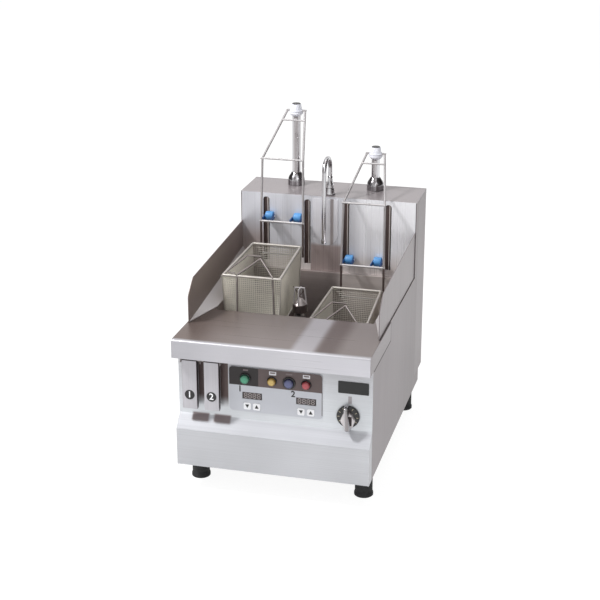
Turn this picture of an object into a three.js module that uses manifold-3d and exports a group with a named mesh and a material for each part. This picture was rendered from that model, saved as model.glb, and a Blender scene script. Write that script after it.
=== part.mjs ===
// Worktop noodle boiler with two powered basket lifts.
// Millimetres, +Z up, the origin on the table under the middle of the body, the front towards -Y.
import * as THREE from 'three';
import { mergeVertices } from 'three/addons/utils/BufferGeometryUtils.js';
import Module from 'manifold-3d';

const wasm = await Module();
wasm.setup();

// Driving dimensions
const bodyWidth = 400;
const bodyDepth = 600;
const footHeight = 57;
const worktopHeight = 332;
const housingRise = 173;
const sheet = 1.5;
const gap = 0.3;
const overrun = 2;
const roundSides = 16;
const wireSides = 6;
const nutSides = 6;
const gridSteps = 1000;
const cornerSteps = 3;

// Worktop
const lipHeight = 38.5;
const lipOverhang = 35;
const lipRadius = 4;
const lipReturn = 12;
const worktopDepth = 185;
const skirtDepth = 200;

// Front panel
const slopeTopDrop = 130;
const slopeFall = 27.5;
const slopeRun = 23.5;
const panelWindowInset = 3;

// Lift housing, rear cover and plinth
const housingDepth = 122;
const sideStripDepth = 27;
const coverSetback = 1.8;
const topLipHeight = 11.5;
const plinthStep = 40;
const plinthHeight = 28;
const coverFootDepth = 50;
const louvreWidth = 70;
const louvreHeight = 5;
const louvrePitch = 13;
const louvreCount = 6;
const louvreTopDrop = 45;
const louvreSpread = 180;
const screwDiameter = 4;
const screwEdge = 14;
const screwRowCount = 4;

// Tank
const tankWidth = 334;
const tankFloorHeight = 150;
const tankFrontSetback = 1.5;
const tankRearSetback = 6;
const tankFrontFlange = 14;
const tankRearFlange = 16;

// Splash guards, each with a gusset that leads drips to the tank
const guardInset = 3.5;
const guardFrontSetback = 97;
const guardChinHeight = 58;
const guardChinRadius = 18;
const guardNoseHeight = 86.5;
const guardNoseRun = 34;
const guardTopRadius = 8;
const guardRearHeight = 105;
const gussetWidth = 27;
const gussetRearHeight = 44;
const gussetSteps = 6;

// Splash boss, a raised tongue on the housing face behind the spout
const bossX = -5;
const bossWidth = 57;
const bossRise = 61;
const bossTopDrop = 4;
const bossRadius = 24;
const bossProud = 1;

// Guide channels in the housing face
const channelWidth = 14;
const channelSpacing = 94;
const channelTopDrop = 10;
const channelFootRise = 15;
const channelDepth = 8;
const channelTopRadius = 6;
const channelRibWidth = 2;
const channelRibShift = 3;

// Feet
const footDiameter = 39;
const footNeckDiameter = 36;
const footRimHeight = 7;
const footSpacingX = 346;
const footFrontInset = 85;
const footRearInset = 78;
const studDiameter = 8;
const studRise = 15;
const nutDiameter = 14;
const nutHeight = 6;

// Lifts
const liftSpacing = 181.5;
const liftCentreX = -1.75;
const liftInset = 38;
const liftTravel = 87;
const capRise = 185;
const capHeight = 28;
const capShoulderHeight = 10;
const capFootDiameter = 21;
const capFlangeDiameter = 30;
const capNeckDiameter = 25;
const capTopDiameter = 21;
const capChamfer = 1.6;
const rodDiameter = 19;
const rodStudDiameter = 9;
const rodStudLength = 6.5;
const rodInsertion = 45;
const collarDiameter = 38;
const collarDrumHeight = 11;
const collarHeight = 28;
const collarShoulderRise = 18;
const collarShoulderDiameter = 35;
const collarCrownRise = 24;
const collarCrownDiameter = 28;
const collarNeckDiameter = 22.6;
const actuatorDiameter = 34;
const actuatorBoreDrop = 153;
const motorWidth = 60;
const motorDepth = 50;
const motorHeight = 90;
const shelfRise = 100;
const shelfThickness = 3;
const shelfFlange = 20;

// Hangers and baskets, at the top of the lift
const hangerWire = 5;
const braceWire = 4;
const eyeClearance = 0.4;
const eyeThickness = 3;
const eyeHalfWidth = 20;
const eyeLugDepth = 9;
const hangerDrop = 78;
const hangerReach = 126;
const shoulderHalfWidth = 47.5;
const crossBarShare = 0.21;
const barDrop = 222;
const barHalfWidth = 50;
const rollerDiameter = 21;
const rollerClearance = 1;
const rollerLength = 18;
const rollerShoulder = 4;
const rollerSpacing = 64;
const rollerShift = -4;
const rollerRise = 3.3;
const rollerPinDiameter = 5;
const cheekHeight = 9;
const cheekReach = 5;
const rimWire = 6;
const rimDrop = 273;
const basketLeft = 70;
const basketRightBack = 50;
const basketRightFront = 64;
const basketLength = 232;
const basketAllowance = 64;
const basketDraft = 7;
const meshThickness = 1.2;
const legBelowRim = 26;
const bailWire = 4.5;
const bailLeft = 36;
const bailRight = 45;
const bailPeakX = 6;
const bailRise = 32;
const bailRun = 48;
const braceRun = 32;
const braceRise = 4;

// Faucet
const faucetX = 1;
const faucetSetback = 19;
const nutBaseDiameter = 24;
const nutTopDiameter = 17;
const faucetNutHeight = 15;
const coneHeight = 27;
const coneBaseDiameter = 15;
const spoutDiameter = 9.5;
const bendRadius = 28.5;
const riserTopRise = 59.6;
const outletRise = 77;
const outletCollarDiameter = 11;
const outletCollarLength = 10;
const shankDiameter = 13;
const shankLength = 40;
const bendSteps = 10;

// Start paddles under the lip
const paddleWidth = 31;
const paddleLength = 109;
const paddleTopDrop = 2.5;
const paddleFaceSetback = 15;
const paddleDepth = 10;
const paddleRadius = 2;
const paddleFirstX = -169;
const paddlePitch = 45.5;
const paddlePinDiameter = 4;
const paddlePinDrop = 6;
const bracketHeight = 12;
const bracketEarOverhang = 2.5;
const switchWidth = 20;
const switchDepth = 22;
const switchHeight = 25;
const plungerDiameter = 7;
const plungerRise = 20;
const plungerReach = 11.5;

// Control plate
const plateLeftX = -92.5;
const plateRightX = 98.5;
const plateHeight = 95.5;
const plateTopDrop = 18;
const plateThickness = 1;
const plateRadius = 8;
const lampDrop = 24.8;
const bezelThickness = 2.6;
const bezelLength = 26;
const lensDome = 3.2;
const lensProud = 2.6;
const lensLength = 12;
const barrelWall = 0.9;
const domeSteps = 4;
const displayWidth = 40;
const displayHeight = 14;
const displayDrop = 61;
const displayXs = [-45, 65.3];
const keyDrop = 83.5;
const keyXs = [-55.2, -35.8, 55.1, 74.8];
const keyWidth = 15;
const keyProud = 0.9;
const keyRadius = 3;
const keyStemDiameter = 4;
const keyStemGap = 0.9;
const boardSetback = 7;
const boardThickness = 1.6;
const displayProud = 0.4;
const lamps = [
  { name: 'push_button_green', x: -59.1, lens: 19, bezel: 24.5, colour: '#1f8f5a', moves: true },
  { name: 'pilot_lamp_yellow', x: -4.1, lens: 16.5, bezel: 20.5, colour: '#c9a24a', moves: false },
  { name: 'push_button_blue', x: 30.8, lens: 19.5, bezel: 26.5, colour: '#3f4070', moves: true },
  { name: 'pilot_lamp_red', x: 65.8, lens: 17, bezel: 21, colour: '#a8333a', moves: false },
];
const nameplateX = 160;
const nameplateDrop = 21.9;
const nameplateWidth = 61;
const nameplateHeight = 25;
const nameplateRadius = 1.5;

// Rotary control
const knobX = 150.2;
const knobDrop = 82.5;
const dialDiameter = 46;
const dialThickness = 5;
const dialChamfer = 1.5;
const skirtRise = 6;
const skirtTopRise = 25;
const skirtHalfWidth = 15.5;
const skirtWidestDrop = 6;
const skirtLowHalfWidth = 9;
const skirtLowDrop = 20;
const skirtFootDrop = 27.5;
const skirtFaceShare = 0.9;
const gripTurn = 5;
const gripTopRise = 27;
const gripBottomDrop = 27;
const gripTopWidth = 7;
const gripBottomWidth = 12;
const gripHeight = 17;
const gripFaceShare = 0.78;
const knobShaftDiameter = 9.4;
const knobShaftLength = 22;
const rotaryWidth = 46;
const rotaryDepth = 42;

// Tank fittings
const overflowX = 0.5;
const overflowSetback = 50;
const overflowDiameter = 24;
const overflowBore = 19;
const strainerSkirtDrop = 7;
const strainerDiameter = 31;
const strainerRise = 10;
const strainerConeHeight = 13;
const strainerTipDiameter = 9;
const overflowSlotWidth = 9;
const overflowSlotHeight = 14;
const overflowSlotDrop = 8;
const handleWire = 3;
const handleRise = 49;
const handleHalfWidth = 14;
const plugDiameter = 13;
const plugDepth = 12;
const drainHoleDiameter = 20;
const drainDiameter = 20;
const drainLevel = 71;
const drainFlangeDiameter = 44;
const drainFlangeThickness = 4;
const drainBend = 24;
const drainEndInset = 12;
const drainThreadDiameter = 24;
const drainThreadLength = 16;
const heaterDiameter = 8;
const heaterHeight = 174;
const heaterXs = [-128, -58, 57, 128];
const heaterHalfSpan = 17;
const heaterFrontInset = 22;
const heaterBendSteps = 8;
const headerHeight = 30;
const headerDepth = 14;
const headerMargin = 16;

// Services
const pipeDiameter = 10;
const valveWidth = 44;
const valveDepth = 34;
const valveHeight = 40;
const valveLevel = 95;
const coilDiameter = 26;
const coilLength = 24;
const inletDiameter = 20;
const inletHoleDiameter = 30;
const contactorX = -120;
const contactorWidth = 66;
const contactorDepth = 70;
const contactorHeight = 78;
const contactorInset = 70;
const contactorCapInset = 10;
const contactorCapHeight = 14;
const glandX = 150;
const glandDiameter = 20;
const glandNutDiameter = 24;
const glandLength = 22;
const glandFlange = 7;
const glandBore = 11;

// Levels and places worked out from the sizes above
const housingHeight = worktopHeight + housingRise;
const halfWidth = bodyWidth / 2;
const frontY = -bodyDepth / 2;
const rearY = bodyDepth / 2;
const panelY = frontY + lipOverhang;
const toeY = panelY - slopeRun;
const sideX = halfWidth - sheet - gap;
const innerX = sideX - sheet - gap;
const lipBottomZ = worktopHeight - lipHeight;
const slopeTopHeight = lipBottomZ - slopeTopDrop;
const slopeBottomHeight = slopeTopHeight - slopeFall;
const louvreTopHeight = housingHeight - louvreTopDrop;
const shelfHeight = tankFloorHeight + shelfRise;
const bossBottomZ = worktopHeight + bossRise;
const actuatorBoreHeight = housingHeight - actuatorBoreDrop;
const underTopZ = worktopHeight - sheet - gap;
const onTopZ = worktopHeight + gap;
const mouthY = frontY + worktopDepth;
const skirtEndY = frontY + skirtDepth;
const housingY = rearY - housingDepth;
const coverY = housingY + sideStripDepth;
const coverRearY = rearY - coverSetback;
const plinthRearY = rearY - plinthStep;
const plinthTopZ = footHeight + plinthHeight;
const underHousingZ = housingHeight - sheet - gap;
const tankHalf = tankWidth / 2;
const tankFrontY = mouthY - tankFrontSetback;
const tankRearY = housingY - tankRearSetback;
const tankFloorZ = tankFloorHeight + sheet;
const baseTopZ = footHeight + sheet;
const liftY = rearY - liftInset;
const liftXs = [liftCentreX - liftSpacing / 2, liftCentreX + liftSpacing / 2];
const liftDrops = [0, liftTravel];
const capTopHeight = housingHeight + capRise;
const basketDepth = worktopHeight - tankFloorHeight - basketAllowance;
const outletHeight = worktopHeight + outletRise;
const sideNames = ['left', 'right'];
const capShoulderZ = capTopHeight - capHeight + capShoulderHeight;
const eyeZ = capShoulderZ + gap + eyeThickness / 2;
const hangerY = liftY - hangerReach;
const shoulderZ = eyeZ - hangerDrop;
const barZ = eyeZ - barDrop;
const rimZ = eyeZ - rimDrop;
const rimBackY = hangerY - hangerWire / 2 - gap - rimWire / 2;
const rimFrontY = rimBackY + rimWire - basketLength;
const rollerY = housingY - rollerClearance - rollerDiameter / 2;
const faucetY = housingY + faucetSetback;
const plateY = panelY - gap;
const plateFaceY = plateY - plateThickness;
const plateTopHeight = lipBottomZ - plateTopDrop;
const plateBottomHeight = plateTopHeight - plateHeight;
const lampHeight = plateTopHeight - lampDrop;
const displayLevel = plateTopHeight - displayDrop;
const keyLevel = plateTopHeight - keyDrop;
const nameplateLevel = plateTopHeight - nameplateDrop;
const knobLevel = plateTopHeight - knobDrop;
const panelBackY = panelY + sheet + gap;
const boardY = panelBackY + boardSetback;
const overflowY = mouthY + overflowSetback;
const strainerBottomHeight = worktopHeight - strainerSkirtDrop;
const strainerTopHeight = worktopHeight + strainerRise;
const handleHeight = worktopHeight + handleRise;
const paddleFaceY = frontY + paddleFaceSetback;
const paddleTopHeight = lipBottomZ - paddleTopDrop;
const paddleBottomHeight = paddleTopHeight - paddleLength;
const paddlePinHeight = paddleTopHeight - paddlePinDrop;
const plungerHeight = paddleBottomHeight + plungerRise;
const paddlePinY = paddleFaceY + paddleDepth / 2 + gap;
const paddleXs = [paddleFirstX, paddleFirstX + paddlePitch];

// Directions, and the planes that outlines are drawn in
const axisX = new THREE.Vector3(1, 0, 0);
const axisY = new THREE.Vector3(0, 1, 0);
const axisZ = new THREE.Vector3(0, 0, 1);
const alongX = new THREE.Matrix4().makeBasis(axisY, axisZ, axisX);
const alongY = new THREE.Matrix4().makeBasis(axisZ, axisX, axisY);
const alongZ = new THREE.Matrix4();

function finish(color, roughness, metalness) {
  return { color, roughness, metalness };
}

const steel = finish('#b9b5b6', 0.38, 0.9);
const brightSteel = finish('#d3d2d6', 0.3, 0.9);
const darkSteel = finish('#7d7172', 0.4, 0.9);
const chrome = finish('#c9c9cc', 0.12, 1);
const wireSteel = finish('#cfccca', 0.25, 0.95);
const meshSteel = finish('#8f8a80', 0.45, 0.8);
const blackRubber = finish('#1b1b1c', 0.85, 0);
const blackPlastic = finish('#232021', 0.5, 0);
const whitePlastic = finish('#f1f1f4', 0.5, 0);
const bluePlastic = finish('#3f86cf', 0.45, 0);
const plateGrey = finish('#dcdfe3', 0.5, 0);
const plateDark = finish('#1e2a26', 0.4, 0);
const boardGreen = finish('#2f5a3c', 0.6, 0);
const brass = finish('#b08d4a', 0.35, 0.9);

// Rounds the corners to a fine grid, so that faces meant to meet do meet, joins equal corners,
// and drops the empty triangles at the tips of a turned shape.
function solidOf(geometry) {
  const plain = geometry.index ? geometry.toNonIndexed() : geometry.clone();
  plain.deleteAttribute('normal');
  plain.deleteAttribute('uv');
  const spots = plain.attributes.position.array;
  spots.forEach((value, i) => {
    spots[i] = Math.round(value * gridSteps) / gridSteps;
  });
  const merged = mergeVertices(plain);
  const corner = merged.attributes.position;
  const index = merged.index.array;
  const triangles = [];
  let volume = 0;
  const a = new THREE.Vector3();
  const b = new THREE.Vector3();
  const c = new THREE.Vector3();
  for (let i = 0; i < index.length; i += 3) {
    const [p, q, r] = [index[i], index[i + 1], index[i + 2]];
    if (p === q || q === r || r === p) continue;
    triangles.push([p, q, r]);
    a.fromBufferAttribute(corner, p);
    b.fromBufferAttribute(corner, q);
    c.fromBufferAttribute(corner, r);
    volume += a.dot(b.cross(c));
  }
  const outward = volume < 0 ? triangles.map(([p, q, r]) => [p, r, q]) : triangles;
  return new wasm.Manifold(new wasm.Mesh({
    numProp: 3,
    vertProperties: new Float32Array(corner.array),
    triVerts: new Uint32Array(outward.flat()),
  }));
}

function join(...solids) {
  return solids.reduce((whole, solid) => whole.add(solid));
}

function cut(solid, ...tools) {
  return tools.reduce((rest, tool) => rest.subtract(tool), solid);
}

const model = new THREE.Group();

function place(name, solid, look) {
  const { vertProperties, triVerts } = solid.getMesh();
  const geometry = new THREE.BufferGeometry();
  geometry.setAttribute('position', new THREE.Float32BufferAttribute(vertProperties, 3));
  geometry.setIndex(new THREE.Uint32BufferAttribute(triVerts, 1));
  geometry.computeVertexNormals();
  const mesh = new THREE.Mesh(geometry, new THREE.MeshStandardMaterial(look));
  mesh.name = name;
  model.add(mesh);
}

function block([x0, x1], [y0, y1], [z0, z1]) {
  const geometry = new THREE.BoxGeometry(Math.abs(x1 - x0), Math.abs(y1 - y0), Math.abs(z1 - z0));
  return solidOf(geometry.translate((x0 + x1) / 2, (y0 + y1) / 2, (z0 + z1) / 2));
}

// A shape from corners [u, v] or [u, v, radius].
function shapeOf(corners) {
  const points = corners.flatMap(([u, v, radius = 0], i) => {
    const here = new THREE.Vector2(u, v);
    if (radius <= 0) return [here];
    const before = corners[(i + corners.length - 1) % corners.length];
    const after = corners[(i + 1) % corners.length];
    const back = new THREE.Vector2(before[0] - u, before[1] - v).normalize();
    const ahead = new THREE.Vector2(after[0] - u, after[1] - v).normalize();
    const reach = radius / Math.tan(Math.acos(back.dot(ahead)) / 2);
    const start = here.clone().addScaledVector(back, reach);
    const end = here.clone().addScaledVector(ahead, reach);
    return new THREE.QuadraticBezierCurve(start, here, end).getPoints(cornerSteps);
  });
  return new THREE.Shape(points);
}

function prism(corners, plane, from, to) {
  const geometry = new THREE.ExtrudeGeometry(shapeOf(corners), { depth: to - from, bevelEnabled: false });
  return solidOf(geometry.translate(0, 0, from).applyMatrix4(plane));
}

function roundedRectangle(u0, u1, v0, v1, radius) {
  return [[u0, v0, radius], [u1, v0, radius], [u1, v1, radius], [u0, v1, radius]];
}

function rod([x0, y0, z0], [x1, y1, z1], diameter, sides = roundSides) {
  const start = new THREE.Vector3(x0, y0, z0);
  const run = new THREE.Vector3(x1, y1, z1).sub(start);
  const geometry = new THREE.CylinderGeometry(diameter / 2, diameter / 2, run.length(), sides);
  geometry.applyQuaternion(new THREE.Quaternion().setFromUnitVectors(axisY, run.clone().normalize()));
  return solidOf(geometry.translate(...start.addScaledVector(run, 1 / 2).toArray()));
}

// Turns a profile of [radius, height] about a vertical line.
function turned(profile, x, y, sides = roundSides) {
  const geometry = new THREE.LatheGeometry(profile.map(([r, h]) => new THREE.Vector2(r, h)), sides);
  return solidOf(geometry.rotateX(Math.PI / 2).translate(x, y, 0));
}

// Turns a profile of [radius, depth] about a line along Y, depth counted towards +Y.
function turnedBack(profile, x, z, sides = roundSides) {
  const geometry = new THREE.LatheGeometry(profile.map(([r, h]) => new THREE.Vector2(r, h)), sides);
  return solidOf(geometry.translate(x, 0, z));
}

// Skins a row of rings that have the same number of corners, and closes both ends.
function loft(rings, closed = false) {
  const count = rings[0].length;
  const corners = rings.flat().flat();
  const index = [];
  const spans = closed ? rings.length : rings.length - 1;
  for (let i = 0; i < spans; i += 1) {
    const near = i * count;
    const far = ((i + 1) % rings.length) * count;
    for (let k = 0; k < count; k += 1) {
      const next = (k + 1) % count;
      index.push(near + k, near + next, far + next, near + k, far + next, far + k);
    }
  }
  const last = (rings.length - 1) * count;
  for (let k = 1; k < count - 1 && !closed; k += 1) {
    index.push(0, k + 1, k, last, last + k, last + k + 1);
  }
  const geometry = new THREE.BufferGeometry();
  geometry.setAttribute('position', new THREE.Float32BufferAttribute(corners, 3));
  geometry.setIndex(index);
  return solidOf(geometry);
}

// A round bar along straight runs, mitred where it turns.
function bar(route, diameter, sides = wireSides, closed = false) {
  const points = route.map((point) => new THREE.Vector3(...point));
  const count = points.length;
  const runs = points.map((point, i) => points[(i + 1) % count].clone().sub(point).normalize());
  const first = closed ? runs[count - 1] : runs[0];
  const helper = Math.abs(first.z) < 1 / 2 ? axisZ : axisX;
  const side = new THREE.Vector3().crossVectors(first, helper).normalize();
  const offsets = Array.from({ length: sides }, (unused, k) => (
    side.clone().applyAxisAngle(first, (2 * Math.PI * k) / sides).multiplyScalar(diameter / 2)
  ));
  const rings = points.map((point, i) => {
    const start = !closed && i === 0;
    const end = !closed && i === count - 1;
    const before = start ? runs[0] : runs[(i + count - 1) % count];
    const after = end ? before : runs[i];
    const mitre = before.clone().add(after).normalize();
    return offsets.map((offset) => {
      const along = -offset.dot(mitre) / before.dot(mitre);
      const corner = offset.clone().addScaledVector(before, along);
      offset.copy(corner).addScaledVector(after, -corner.dot(after));
      return corner.add(point).toArray();
    });
  });
  return loft(rings, closed);
}

// Rounds the inner corners of a route.
function eased(route, radius, steps = cornerSteps) {
  const points = route.map((point) => new THREE.Vector3(...point));
  return points.flatMap((here, i) => {
    if (i === 0 || i === points.length - 1) return [here.toArray()];
    const back = points[i - 1].clone().sub(here).normalize();
    const ahead = points[i + 1].clone().sub(here).normalize();
    const reach = radius / Math.tan(Math.acos(back.dot(ahead)) / 2);
    const start = here.clone().addScaledVector(back, reach);
    const end = here.clone().addScaledVector(ahead, reach);
    const curve = new THREE.QuadraticBezierCurve3(start, here, end);
    return curve.getPoints(steps).map((point) => point.toArray());
  });
}

function hole(from, to, diameter, sides = roundSides) {
  return rod(from, to, diameter, sides);
}

function makeWorktop() {
  const top = prism([
    [frontY + lipReturn, lipBottomZ],
    [frontY, lipBottomZ],
    [frontY, worktopHeight, lipRadius],
    [mouthY, worktopHeight],
    [mouthY, worktopHeight - sheet],
    [frontY + sheet, worktopHeight - sheet, lipRadius - sheet],
    [frontY + sheet, lipBottomZ + sheet],
    [frontY + lipReturn, lipBottomZ + sheet],
  ], alongX, -halfWidth, halfWidth);
  const skirt = [
    [frontY, lipBottomZ],
    [skirtEndY, lipBottomZ],
    [skirtEndY, worktopHeight],
    [frontY, worktopHeight, lipRadius],
  ];
  const sides = [-1, 1].map((side) => {
    const edge = side * (halfWidth - sheet / 2);
    const ear = [mouthY - overrun, skirtEndY];
    return join(
      prism(skirt, alongX, edge - sheet / 2, edge + sheet / 2),
      block([side * tankHalf, side * halfWidth], ear, [worktopHeight - sheet, worktopHeight]),
    );
  });
  place('worktop', join(top, ...sides), steel);
}

function makeFrontPanel() {
  const outer = [
    [panelY, underTopZ],
    [panelY, slopeTopHeight],
    [toeY, slopeBottomHeight],
    [toeY, footHeight],
  ];
  const inner = [
    [panelY + sheet, footHeight],
    [panelY + sheet, baseTopZ],
    [toeY + sheet, baseTopZ],
    [toeY + sheet, slopeBottomHeight],
    [panelY + sheet, slopeTopHeight],
    [panelY + sheet, underTopZ],
  ];
  const cheek = [
    [toeY, footHeight],
    [panelY + sheet, footHeight],
    [panelY + sheet, slopeTopHeight],
    [panelY, slopeTopHeight],
    [toeY, slopeBottomHeight],
  ];
  const folded = join(
    prism([...outer, ...inner], alongX, -sideX, sideX),
    prism(cheek, alongX, -sideX, -sideX + sheet),
    prism(cheek, alongX, sideX - sheet, sideX),
  );
  const through = [panelY - overrun, panelBackY + overrun];
  const window = block(
    [plateLeftX + panelWindowInset, plateRightX - panelWindowInset],
    through,
    [plateBottomHeight + panelWindowInset, plateTopHeight - panelWindowInset],
  );
  const shaftHole = hole(
    [knobX, through[0], knobLevel], [knobX, through[1], knobLevel], knobShaftDiameter + 2 * gap,
  );
  const plungerHoles = paddleXs.map((x) => hole(
    [x, through[0], plungerHeight], [x, through[1], plungerHeight], plungerDiameter + 2 * gap,
  ));
  place('front_panel', cut(folded, window, shaftHole, ...plungerHoles), brightSteel);
}

function makeSidePanels() {
  const frontEdge = panelY + sheet + gap;
  const outline = [
    [frontEdge, footHeight],
    [plinthRearY, footHeight],
    [plinthRearY, plinthTopZ - gap],
    [coverY - gap, plinthTopZ - gap],
    [coverY - gap, underHousingZ],
    [housingY, underHousingZ],
    [housingY, underTopZ],
    [frontEdge, underTopZ],
  ];
  [-1, 1].forEach((side, i) => {
    const middle = side * (sideX - sheet / 2);
    const panel = prism(outline, alongX, middle - sheet / 2, middle + sheet / 2);
    place(`side_panel_${sideNames[i]}`, panel, steel);
  });
}

function footPlaces() {
  const ys = [frontY + footFrontInset, rearY - footRearInset];
  return ys.flatMap((y) => [-footSpacingX / 2, footSpacingX / 2].map((x) => [x, y]));
}

function makeBasePan() {
  const frontEdge = panelY + sheet + gap;
  const pan = join(
    block([-innerX, innerX], [frontEdge, plinthRearY], [footHeight, baseTopZ]),
    block([-innerX, innerX], [plinthRearY - sheet, plinthRearY], [footHeight, plinthTopZ - gap]),
  );
  const studHoles = footPlaces().map(([x, y]) => hole(
    [x, y, footHeight - overrun], [x, y, baseTopZ + overrun], studDiameter + 2 * gap, wireSides,
  ));
  const rearHole = (x, diameter) => hole(
    [x, plinthRearY - sheet - overrun, drainLevel], [x, plinthRearY + overrun, drainLevel], diameter,
  );
  const rearHoles = [
    rearHole(overflowX, drainDiameter + 2 * gap),
    rearHole(glandX, glandDiameter + 2 * gap),
  ];
  place('base_pan', cut(pan, ...studHoles, ...rearHoles), darkSteel);
}

function makeFeet() {
  const names = ['front_left', 'front_right', 'rear_left', 'rear_right'];
  const topZ = footHeight - gap;
  const taper = (footDiameter - footNeckDiameter) / 2;
  footPlaces().forEach(([x, y], i) => {
    const rubber = turned([
      [0, 0],
      [footDiameter / 2, 0],
      [footDiameter / 2, footRimHeight],
      [footNeckDiameter / 2, footRimHeight + taper],
      [footNeckDiameter / 2, topZ],
      [0, topZ],
    ], x, y);
    const stud = rod([x, y, topZ - studRise], [x, y, baseTopZ + studRise], studDiameter, wireSides);
    const nutZ = baseTopZ + gap;
    const nut = rod([x, y, nutZ], [x, y, nutZ + nutHeight], nutDiameter, nutSides);
    place(`foot_${names[i]}`, join(rubber, stud, nut), blackRubber);
  });
}

function heaterLegXs() {
  return heaterXs.flatMap((x) => [x - heaterHalfSpan, x + heaterHalfSpan]);
}

function makeTank() {
  const outerHalf = tankHalf + sheet;
  const rim = [worktopHeight - sheet, worktopHeight];
  const shell = join(
    block([-outerHalf, outerHalf], [tankFrontY - sheet, tankRearY], [tankFloorHeight, worktopHeight]),
    block([-sideX, sideX], [skirtEndY, housingY - gap], rim),
    block([-innerX, innerX], [tankRearY - sheet, tankRearY + tankRearFlange], rim),
  );
  const frontFlange = block(
    [-outerHalf, outerHalf], [tankFrontY - tankFrontFlange, tankFrontY], [underTopZ - sheet, underTopZ],
  );
  const water = block([-tankHalf, tankHalf], [tankFrontY, tankRearY - sheet], [tankFloorZ, onTopZ + overrun]);
  const underWorktop = block(
    [-halfWidth, halfWidth], [frontY, skirtEndY + gap], [underTopZ, onTopZ + overrun],
  );
  const drainHole = hole(
    [overflowX, overflowY, tankFloorHeight - overrun],
    [overflowX, overflowY, tankFloorZ + overrun],
    drainHoleDiameter,
  );
  const heaterHoles = heaterLegXs().map((x) => hole(
    [x, tankRearY - sheet - overrun, heaterHeight],
    [x, tankRearY + overrun, heaterHeight],
    heaterDiameter + 2 * gap,
  ));
  const basin = cut(shell, underWorktop);
  place('tank', cut(join(basin, frontFlange), water, drainHole, ...heaterHoles), steel);
}

// The gusset rises along the guard towards the back and falls to the edge of the tank.
function makeGuards() {
  const guardFrontY = frontY + guardFrontSetback;
  const guardRearY = housingY - gap;
  const plate = [
    [guardFrontY, onTopZ],
    [guardRearY, onTopZ],
    [guardRearY, worktopHeight + guardRearHeight],
    [guardFrontY + guardNoseRun, worktopHeight + guardNoseHeight, guardTopRadius],
    [guardFrontY, worktopHeight + guardChinHeight, guardChinRadius],
  ];
  [-1, 1].forEach((side, i) => {
    const middle = halfWidth - guardInset - sheet / 2;
    const toe = middle - sheet / 2 - gussetWidth;
    const wall = prism(plate, alongX, side * middle - sheet / 2, side * middle + sheet / 2);
    const rings = Array.from({ length: gussetSteps + 1 }, (unused, k) => {
      const share = k / gussetSteps;
      const outerY = guardFrontY + sheet + (guardRearY - guardFrontY - sheet) * share;
      const toeLineY = skirtEndY + (guardRearY - skirtEndY) * share;
      return [
        [side * middle, outerY, onTopZ],
        [side * toe, toeLineY, onTopZ],
        [side * toe, toeLineY, onTopZ + sheet],
        [side * middle, outerY, onTopZ + sheet + gussetRearHeight * share],
      ];
    });
    place(`splash_guard_${sideNames[i]}`, join(wall, loft(rings)), darkSteel);
  });
}

function channelPlaces() {
  return liftXs.flatMap((x) => [x - channelSpacing / 2, x + channelSpacing / 2]);
}

const channelTopZ = housingHeight - channelTopDrop;
const channelFootZ = worktopHeight + channelFootRise;

function makeHousing() {
  const faceY = [housingY, housingY + sheet];
  const folded = join(
    block([-innerX, innerX], faceY, [onTopZ, housingHeight]),
    block([-sideX, sideX], [housingY, rearY], [housingHeight - sheet, housingHeight]),
    block([-sideX, sideX], [rearY - sheet, rearY], [housingHeight - topLipHeight, housingHeight]),
  );
  const boss = prism([
    [bossBottomZ, bossX - bossWidth / 2, bossRadius],
    [bossBottomZ, bossX + bossWidth / 2, bossRadius],
    [housingHeight - bossTopDrop, bossX + bossWidth / 2],
    [housingHeight - bossTopDrop, bossX - bossWidth / 2],
  ], alongY, housingY - bossProud, housingY + sheet / 2);
  const slots = channelPlaces().map((x) => prism([
    [channelFootZ, x - channelWidth / 2],
    [channelFootZ, x + channelWidth / 2],
    [channelTopZ, x + channelWidth / 2, channelTopRadius],
    [channelTopZ, x - channelWidth / 2, channelTopRadius],
  ], alongY, housingY - overrun, housingY + sheet + overrun));
  const topHole = (x, y, diameter) => hole(
    [x, y, underHousingZ - overrun], [x, y, housingHeight + overrun], diameter,
  );
  const rodHoles = liftXs.map((x) => topHole(x, liftY, collarNeckDiameter));
  const faucetHole = topHole(faucetX, faucetY, shankDiameter + 2 * gap);
  place('lift_housing', cut(join(folded, boss), ...slots, ...rodHoles, faucetHole), steel);
}

// One sheet behind the housing face, with a ribbed groove pressed behind each slot.
function makeGuideChannels() {
  const mouth = housingY + sheet + gap;
  const back = mouth + channelDepth;
  const xs = channelPlaces();
  const half = channelWidth / 2;
  const backing = block(
    [xs[0] - channelWidth, xs[xs.length - 1] + channelWidth],
    [mouth, mouth + sheet],
    [channelFootZ - sheet, channelTopZ + sheet],
  );
  const troughs = xs.map((x) => block(
    [x - half - sheet, x + half + sheet], [mouth, back], [channelFootZ - sheet, channelTopZ + sheet],
  ));
  const grooves = xs.map((x) => block(
    [x - half, x + half], [mouth - overrun, back - sheet], [channelFootZ, channelTopZ],
  ));
  const ribs = xs.map((x) => block(
    [x + channelRibShift - channelRibWidth / 2, x + channelRibShift + channelRibWidth / 2],
    [mouth, back - sheet / 2],
    [channelFootZ - sheet / 2, channelTopZ + sheet / 2],
  ));
  place('guide_channels', join(cut(join(backing, ...troughs), ...grooves), ...ribs), steel);
}

function screwPlaces() {
  const low = plinthTopZ + 2 * screwEdge;
  const high = housingHeight - topLipHeight - 2 * screwEdge;
  return Array.from({ length: screwRowCount }, (unused, k) => (
    low + ((high - low) * k) / (screwRowCount - 1)
  )).flatMap((z) => [-1, 1].map((side) => [side * (sideX - screwEdge), z]));
}

const valveZ = valveLevel + valveHeight / 2;

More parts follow.
